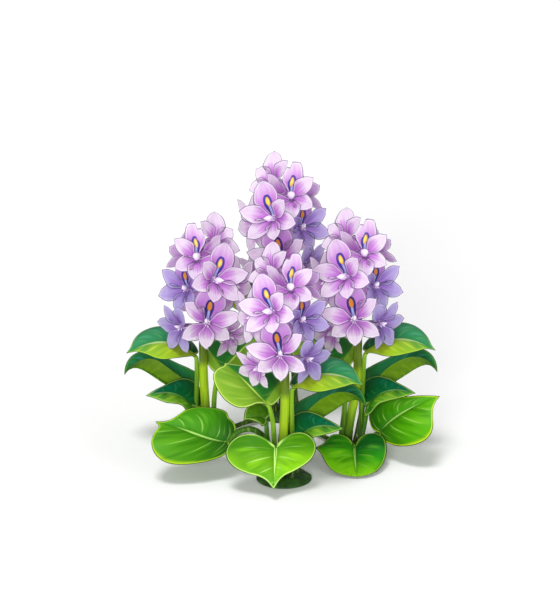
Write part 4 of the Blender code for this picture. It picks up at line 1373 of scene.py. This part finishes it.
# %% Stamens and pistil (mm)
STAMEN_LENGTH = 8.0
STAMEN_RADII = (0.45, 0.34, 0.30, 0.28, 0.62, 0.70, 0.35)  # the last three are the anther
PISTIL_RADII = (1.2, 1.6, 2.3, 3.1, 3.8, 4.1, 4.0, 3.4, 2.3, 1.1, 0.2)
PISTIL_LENGTH = 12.5
LONG_SHORT = (1.0, 0.7)


def stamen_object():
    """One stamen that points along Z and bends a little outwards, towards Y."""
    steps = len(STAMEN_RADII) - 1
    places = [(0, 1.1 + 1.6 * (i / steps) ** 2, STAMEN_LENGTH * i / steps) for i in range(steps + 1)]
    return object_of("stamen form", stem("stamen", places, STAMEN_RADII, STAMEN_SKIN, ridges=2,
                                         ridge_depth=0.0, sides=8))


STAMEN = stamen_object()


def pistil_mesh(name, lean, size):
    """The club-shaped pistil; lean is how far its end hangs to the right and up (mm)."""
    steps = len(PISTIL_RADII) - 1
    places = []
    for i in range(steps + 1):
        share = i / steps
        ahead = PISTIL_LENGTH * (share if share < 0.8 else 0.8 + (share - 0.8) * 0.75)
        places.append(Vector((lean[0] * share**1.5, lean[1] * share**1.5, ahead)))
    reach = (places[-1] - places[0]).length
    places = [place * (PISTIL_LENGTH / reach) for place in places]
    radii = [radius * size for radius in PISTIL_RADII]
    return stem(name, places, radii, STAMEN_SKIN, ridges=3, ridge_depth=0.05, sides=18)


print("stamen and pistil ready")

# %% [markdown]
# ## Flowers on their spikes
# Every spike carries the same ten flowers, ten different ways of facing. A flower's place is
# its throat, and its facing is given in degrees to the right and up. The petals' own small turns
# come from a fixed seed, so that no two flowers are copies, and some petals have an order of
# their own, where one is short or stands on edge.

# %% Flower forms (mm from the crown)
# facing: degrees to the right and up. spin: degrees that the banner is turned clockwise.
# spread: degrees that the petals open. length: the flower's share of full size. shade: from 0 in
# the light to 1 in the painted shade. eye: 1 for a bright yellow eye, 0.5 for one in painted
# shade, orange on a darker banner, 0 for none.
# pistil: how far its end hangs right and up, and its share of full thickness. banner: how much
# wider the top petal is. petals: {number: (length, degrees clockwise off its place, tilt forward,
# roll)}, where 0 is the banner and 1 the next one clockwise.
FLOWERS = {
    "top": {"throat": (7, -14, 224), "facing": (-2, 44), "spin": 1, "spread": 66, "length": 0.93,
            "shade": 0.0, "eye": 1.0, "pistil": (0, 0, 1.0), "banner": 1.08, "lobed": True,
            "petals": {0: (1.08, 0, 0, 0), 1: (0.92, -6, 6, 0), 2: (0.86, 0, 3, 10), 3: (0.92, -4, -5, 0),
                       5: (1.06, 24, -13, -60)}},
    "upper": {"throat": (-11, -38, 208), "facing": (-33, 22), "spin": -26, "spread": 66, "length": 1.0,
              "shade": 0.0, "eye": 1.0, "pistil": (-9, 1, 0.75), "banner": 1.2,
              "petals": {0: (1.10, 0, 0, 0), 1: (0.83, 4, 8, 0), 2: (0.92, -2, 0, 0),
                         3: (0.74, -1, 1, 0), 4: (0.95, 3, 4, 0), 5: (1.02, -4, 0, 0)}},
    "side": {"throat": (17, -13, 189), "facing": (42, 14), "spin": 0, "spread": 66, "length": 0.90,
             "shade": 0.9, "eye": 0.5, "pistil": (-2, 5, 0.7),
             "petals": {1: (1.0, 2, 0, 0), 2: (0.98, -4, 4, 0), 3: (0.80, 0, 4, 0), 4: (0.85, 5, 8, 0)}},
    "centre": {"throat": (-4, -36, 158), "facing": (-4, 10), "spin": -6, "spread": 68, "length": 0.92,
               "shade": 0.0, "eye": 0.5, "pistil": (2, 8, 0.55), "banner": 1.5,
               "petals": {0: (1.22, -4, -4, 0), 1: (1.07, 0, 3, -24), 2: (0.92, 1, 0, 10),
                          3: (0.82, 2, 2, 0), 4: (0.86, 1, 0, 0), 5: (1.15, -9, 0, 4)}},
    "outer": {"throat": (23, -17, 147), "facing": (44, -6), "spin": -27, "spread": 66, "length": 0.84,
              "shade": 0.9, "eye": 0.0, "pistil": (4, 3, 0.45),
              "petals": {1: (0.95, -2, -5, 0), 2: (0.97, -4, -4, 0), 3: (0.94, 2, 0, 0)}},
    "lowest": {"throat": (-26, -18, 138), "facing": (-46, -14), "spin": 10, "spread": 64, "length": 0.78,
               "shade": 0.0, "eye": 0.0, "pistil": (0, 0, 0.5), "petals": {}},
    "rear": {"throat": (-29, 2, 187), "facing": (-60, 2), "spin": 8, "spread": 74, "length": 0.98,
             "shade": 0.0, "eye": 0.0, "pistil": (0, 0, 0.5), "petals": {}},
    "crest": {"throat": (-12, 18.5, 231.5), "facing": (-44, 35), "spin": -14, "spread": 66,
              "length": 0.92, "shade": 0.0, "eye": 0.0, "pistil": (0, 0, 0.4), "banner": 1.1,
              "petals": {0: (0.94, 0, 0, 0), 1: (1.0, -5, 4, 0), 4: (0.8, 0, 4, 0), 5: (0.72, 0, 0, 0)}},
}
JOINED_FLOWERS = {
    "high": {"throat": (15, 16, 216), "facing": (135, 20), "spin": 0, "spread": 66, "length": 0.80,
             "shade": 0.2, "eye": 1.0, "pistil": (0, 0, 0.5), "petals": {}},
    "low": {"throat": (2, 22, 164), "facing": (175, 5), "spin": 0, "spread": 66, "length": 0.86,
            "shade": 0.2, "eye": 1.0, "pistil": (0, 0, 0.5), "petals": {}},
}
PETAL_SHARES = (1.0, 1.0, 0.92, 0.82, 0.92, 1.0)  # lengths clockwise from the banner
TILT, ROLL, SWING = 5.0, 7.0, 3.0  # degrees that a petal may stand off its place
LONGER, WIDER = 0.03, 0.04  # shares that its length and width may be off
FIRST_SEED, JOINED_SEED = 12, 101
STALK_TOP = 232.0
STALK_BENDS = (12.0, 97.0)  # heights between which the stalk leans over from its foot
STALK_OFF = (-2.0, 1.0)  # how far its foot and its upper part are right of the crown's middle
STALK_BACK = 2.0  # how far it is behind the crown's middle
TUBE_DROP = 6.0  # a tube starts this far below its throat
TUBE_BELOW_TOP = 4.0  # and at least this far below the stalk's top
TUBE_OUT = 2.6  # and this far out from the stalk's middle
TUBE_STRAIGHT = 9.0  # its last part runs straight into the flower
TUBE_INSIDE = 1.5  # and ends this far inside the throat
TUBE_RADII = (1.5, 3.1)  # at the stalk and at the throat
TUBE_STEPS = 12
print(len(ROSETTES) * (len(FLOWERS) + len(JOINED_FLOWERS)), "flowers")

# %% [markdown]
# Each flower is put together in directions of its own: right, towards the banner, and out of
# the throat. A matrix then sets it on its spike. The stalk bends a little before it stands
# straight, so each tube first looks up where the stalk is at its own height, and bends up from
# there to the throat.


# %% Placing a flower
def stalk_place(rosette, height):
    """The middle of the flower stalk at a height, in world millimetres."""
    foot, head = (off * rosette["side"] for off in STALK_OFF)
    low, high = STALK_BENDS
    bend = min(max((height - low) / (high - low), 0.0), 1.0)
    aside = mix(foot, head + rosette["lean"], bend * bend * (3 - 2 * bend))
    return crown_place(rosette) + Vector((aside, STALK_BACK, height))


def flower_frame(form, rosette):
    """The matrix (metres) that puts the flower's right, banner and axis in place."""
    side = rosette["side"]
    x, y, z = form["throat"]
    throat = crown_place(rosette) + Vector((x * side, y, z)) + lift_of(rosette)
    turn, tilt = (math.radians(angle) for angle in form["facing"])
    axis = Vector((math.sin(turn) * math.cos(tilt) * side, -math.cos(turn) * math.cos(tilt),
                   math.sin(tilt)))
    level = Vector((0, 0, 1)).cross(axis).normalized()
    spin = math.radians(form["spin"]) * side
    banner = axis.cross(level) * math.cos(spin) + level * math.sin(spin)
    scale = form["length"] * rosette["size"] / NOMINAL_SIZE
    turned = Matrix((banner.cross(axis), banner, axis)).transposed().to_4x4()
    return Matrix.Translation(throat * MM) @ turned @ Matrix.Scale(scale, 4), throat, axis


def petal_points(form, side, chance):
    """The six points of a flower: clockwise from the banner, or the other way if mirrored."""
    points = []
    for i in range(PETALS):
        place = i if side > 0 else -i % PETALS
        small = [chance.uniform(-limit, limit) for limit in (TILT, ROLL, SWING, LONGER, WIDER)]
        length, off, tilt, roll = form["petals"].get(
            place, (PETAL_SHARES[place] + small[3], small[2] * (place > 0), small[0], small[1]))
        tilt += SPREAD - form["spread"] + (-IN_FRONT if i % 2 == 0 else IN_FRONT)
        swing = -i * 360 / PETALS - off * side
        turn = [math.radians(angle) for angle in (tilt, roll * side, swing)]
        width = 1 + small[4] if i else form.get("banner", 1.0)
        points.append((turn, (width, length, length), form["eye"] if i == 0 else None))
    return points


def stamen_points(chance):
    """The six points of a flower's stamens, each between two petals."""
    points = []
    for i in range(PETALS):
        length = LONG_SHORT[i % 2] * chance.uniform(0.9, 1.1)
        turn = [math.radians(chance.uniform(-10, 4)), 0, math.radians(-i * 60 - 30 + chance.uniform(-8, 8))]
        points.append((turn, (1.0, 1.0, length), None))
    return points


print("flower places ready")

# %% [markdown]
# A flower is four meshes: petals, stamens, pistil and tube. The first three are made in the
# flower's own directions and then moved, and the tube is laid in place from the stalk's middle
# to the throat.


# %% One flower, and all flowers
def flower_meshes(name, form, rosette, seed):
    """The petals, stamens, pistil and tube of one flower, as plain meshes in place."""
    chance = random.Random(seed)
    frame_matrix, throat, axis = flower_frame(form, rosette)
    banner = LOBED_BANNERS[rosette["side"]] if form.get("lobed") else BANNER
    petals = ring(name, petal_points(form, rosette["side"], chance), form["shade"], PETAL, banner, PETAL_SKIN)
    stamens = ring(name + "_stamens", stamen_points(chance), form["shade"], STAMEN, STAMEN, STAMEN_SKIN)
    right, up, size = form["pistil"]
    pistil = pistil_mesh(name + "_pistil", (right * rosette["side"], up), size)
    for mesh in (petals, stamens, pistil):
        mesh.transform(frame_matrix)
    height = min(throat.z - TUBE_DROP, STALK_TOP + rosette["rise"] - TUBE_BELOW_TOP)
    core = stalk_place(rosette, height)
    outward = Vector((throat.x - core.x, throat.y - core.y, 0)).normalized()
    scale = form["length"] * rosette["size"]
    foot = core + outward * TUBE_OUT
    back = throat - axis * TUBE_STRAIGHT * scale
    path = (foot, mix(foot, back, 0.7), back, throat + axis * TUBE_INSIDE * scale)
    shares = [i / TUBE_STEPS for i in range(TUBE_STEPS + 1)]
    places = [bezier(path, share) for share in shares]
    radii = [mix(TUBE_RADII[0], TUBE_RADII[1] * scale, share ** 2.2) for share in shares]
    tube = stem(name + "_tube", places, radii, FLOWER_TUBE, ridges=6, ridge_depth=0.06, sides=12)
    return [petals, stamens, pistil, tube]


seed = FIRST_SEED
for rosette_name, rosette in ROSETTES.items():
    for flower_name, form in FLOWERS.items():
        name = f"{rosette_name}_{flower_name}_flower"
        whole = join_meshes(name, flower_meshes(name, form, rosette, seed))
        finish_piece(name, whole, f"{rosette_name}_flower_{flower_name}")
        seed += 1
    print(rosette_name, "flowers made")

# %% [markdown]
# ## Flower stalks
# A water hyacinth's flower stalk is as thick as a finger and round, and tapers inside the
# spike. The two flowers at its back are of one piece with it here, as in the solids.

# %% Flower stalks
# Heights and radii: below the spike, where the spike starts, and down from the stalk's top.
STALK_RINGS = ((CROWN_HEIGHT, 5.8), (12.0, 5.2), (45.0, 5.0), (90.0, 4.8))
SPIKE_START, SPIKE_RADIUS, SPIKE_MIDDLE_RADIUS = 128.0, 4.6, 3.4
TOP_RINGS = ((6.0, 2.2), (1.5, 1.6), (0.0, 0.6))
RING_STEPS = 4  # places from one ring to the next
for number, (rosette_name, rosette) in enumerate(ROSETTES.items()):
    name = f"{rosette_name}_flower_stalk"
    top, start = STALK_TOP + rosette["rise"], SPIKE_START + rosette["rise"]
    rings = [*STALK_RINGS, (start, SPIKE_RADIUS), ((start + top) / 2, SPIKE_MIDDLE_RADIUS),
             *[(top - down, radius) for down, radius in TOP_RINGS]]
    places, radii = [], []
    for (low, low_radius), (high, high_radius) in zip(rings, rings[1:]):
        for i in range(RING_STEPS):
            places.append(stalk_place(rosette, mix(low, high, i / RING_STEPS)))
            radii.append(mix(low_radius, high_radius, i / RING_STEPS))
    places.append(stalk_place(rosette, top))
    radii.append(rings[-1][1])
    meshes = [stem(name + "_stem", places, radii, FLOWER_STALK, ridges=11, ridge_depth=0.025, sides=44)]
    for back_number, (flower_name, form) in enumerate(JOINED_FLOWERS.items()):
        seed = JOINED_SEED + len(JOINED_FLOWERS) * number + back_number
        meshes += flower_meshes(f"{name}_{flower_name}", form, rosette, seed)
    finish_piece(name, join_meshes(name, meshes), f"{rosette_name}_stalk")
print("flower stalks made")

# %% [markdown]
# ## Root crowns and runners
# The crown is the short dark stem at the waterline, from which the leaves, the flower stalk and
# the runners grow. It is a low dome, wrinkled outwards from its middle by old leaf scars, and a
# runner leaves it along the ground to the next rosette.


# %% Crown material
def crown_material():
    """Old, rough, dark green skin, coarsely blotched and finely pitted."""
    made, tree = new_material("wrinkled root crown skin")
    place = add(tree, "ShaderNodeTexCoord", result="Object")
    coarse = add(tree, "ShaderNodeTexNoise", {"Vector": place, "Scale": 120.0, "Detail": 5.0})
    fine = add(tree, "ShaderNodeTexNoise", {"Vector": place, "Scale": 650.0, "Detail": 3.0})
    green = add(tree, "ShaderNodeValToRGB", coarse,
                stops=[(0.30, "#0f2a06"), (0.52, "#1e4a0a"), (0.72, "#346014")])
    gloss = strength(tree, (fine, 0.3, 0.7, 0.80, 0.50))
    height = add(tree, "ShaderNodeMath", fine, 0.4, coarse, operation="MULTIPLY_ADD")
    return finish_material(made, {"Base Color": green, "Roughness": gloss}, height, strongly=0.7, deep=0.8)


CROWN_SKIN = crown_material()
print("crown material ready")

# %% [markdown]
# The dome is a stack of rings that grow smaller to the top, and the wrinkles move each ring's
# places up and down. A runner is a stem that starts inside its crown, and it bows a little
# sideways and up on its way to the next one.

# %% Crowns and runners
CROWN_RINGS = ((0.0, 6.6), (5.0, 6.6), (11.0, 6.5), (17.0, 6.1), (21.0, 5.2), (25.0, 4.0),
               (28.0, 2.7), (30.0, 1.5), (30.2, 0.7), (29.0, 0.0))  # radius and height
CROWN_SIDES = 96
FLAT_BELOW = 1.0  # below this height the rim stays plain, so that the foot is flat
# Wrinkles and the outline's bulges: how many there are round the crown, and how high.
WIDE_WRINKLES, NARROW_WRINKLES, BULGES = (9, 0.35), (23, 0.25), (7, 0.008)
RUNNER_RADIUS = 2.6
RUNNER_STEPS = 24
RUNNER_IN, RUNNER_GAP = 6.0, 0.7  # how deep it starts in its crown, and how far off it ends
RUNNER_BOW, RUNNER_HEIGHT, RUNNER_RISE = 5.0, 3.2, 2.0  # sideways, at its ends, up in its middle


def crown_mesh(name, middle):
    """A low dome on a flat underside, with wrinkles that run outwards."""
    made = bmesh.new()
    top = made.verts.new((middle + Vector((0, 0, CROWN_RINGS[0][1]))) * MM)
    rings = []
    for radius, height in CROWN_RINGS[1:]:
        row = []
        for i in range(CROWN_SIDES):
            angle = 2 * math.pi * i / CROWN_SIDES
            lift, reach = 0.0, radius
            if height > FLAT_BELOW:
                wrinkle = math.sin(WIDE_WRINKLES[0] * angle) * WIDE_WRINKLES[1]
                wrinkle += math.sin(NARROW_WRINKLES[0] * angle + 1.7) * NARROW_WRINKLES[1]
                lift = wrinkle * min(radius / 12, 1.0)
                reach = radius * (1 + BULGES[1] * math.sin(BULGES[0] * angle))
            place = middle + Vector((math.cos(angle) * reach, math.sin(angle) * reach, height + lift))
            row.append(made.verts.new(place * MM))
        rings.append(row)
    for i in range(CROWN_SIDES):
        after = (i + 1) % CROWN_SIDES
        made.faces.new((top, rings[0][i], rings[0][after]))
        for inner, outer in zip(rings, rings[1:]):
            made.faces.new((inner[i], outer[i], outer[after], inner[after]))
    made.faces.new(list(reversed(rings[-1])))
    for face in made.faces:
        face.smooth = len(face.verts) < 5
    bmesh.ops.recalc_face_normals(made, faces=made.faces)
    return mesh_from(name, made, [CROWN_SKIN])


def runner_mesh(name, rosette):
    """The runner along the ground, from inside this crown to just short of the next one."""
    way = crown_place(ROSETTES[rosette["runner"]]) - crown_place(rosette)
    along = way.normalized()
    sideways = Vector((-along.y, along.x, 0))
    first, last = along * (CROWN_RADIUS - RUNNER_IN), way - along * (CROWN_RADIUS + RUNNER_GAP)
    places = []
    for i in range(RUNNER_STEPS + 1):
        swell = math.sin(math.pi * i / RUNNER_STEPS)
        place = mix(first, last, i / RUNNER_STEPS) + sideways * RUNNER_BOW * swell
        place.z = RUNNER_HEIGHT + RUNNER_RISE * swell
        places.append(crown_place(rosette) + place)
    radii = [RUNNER_RADIUS] * len(places)
    return stem(name, places, radii, RUNNER_SKIN, ridges=7, ridge_depth=0.03, sides=28)


for rosette_name, rosette in ROSETTES.items():
    name = f"{rosette_name}_root_crown"
    meshes = [crown_mesh(name, crown_place(rosette))]
    if rosette["runner"]:
        meshes.append(runner_mesh(name + "_runner", rosette))
    finish_piece(name, join_meshes(name, meshes), f"{rosette_name}_crown")
for form in (PETAL, BANNER, STAMEN, *LOBED_BANNERS.values()):
    bpy.data.objects.remove(form)
print("crowns made")
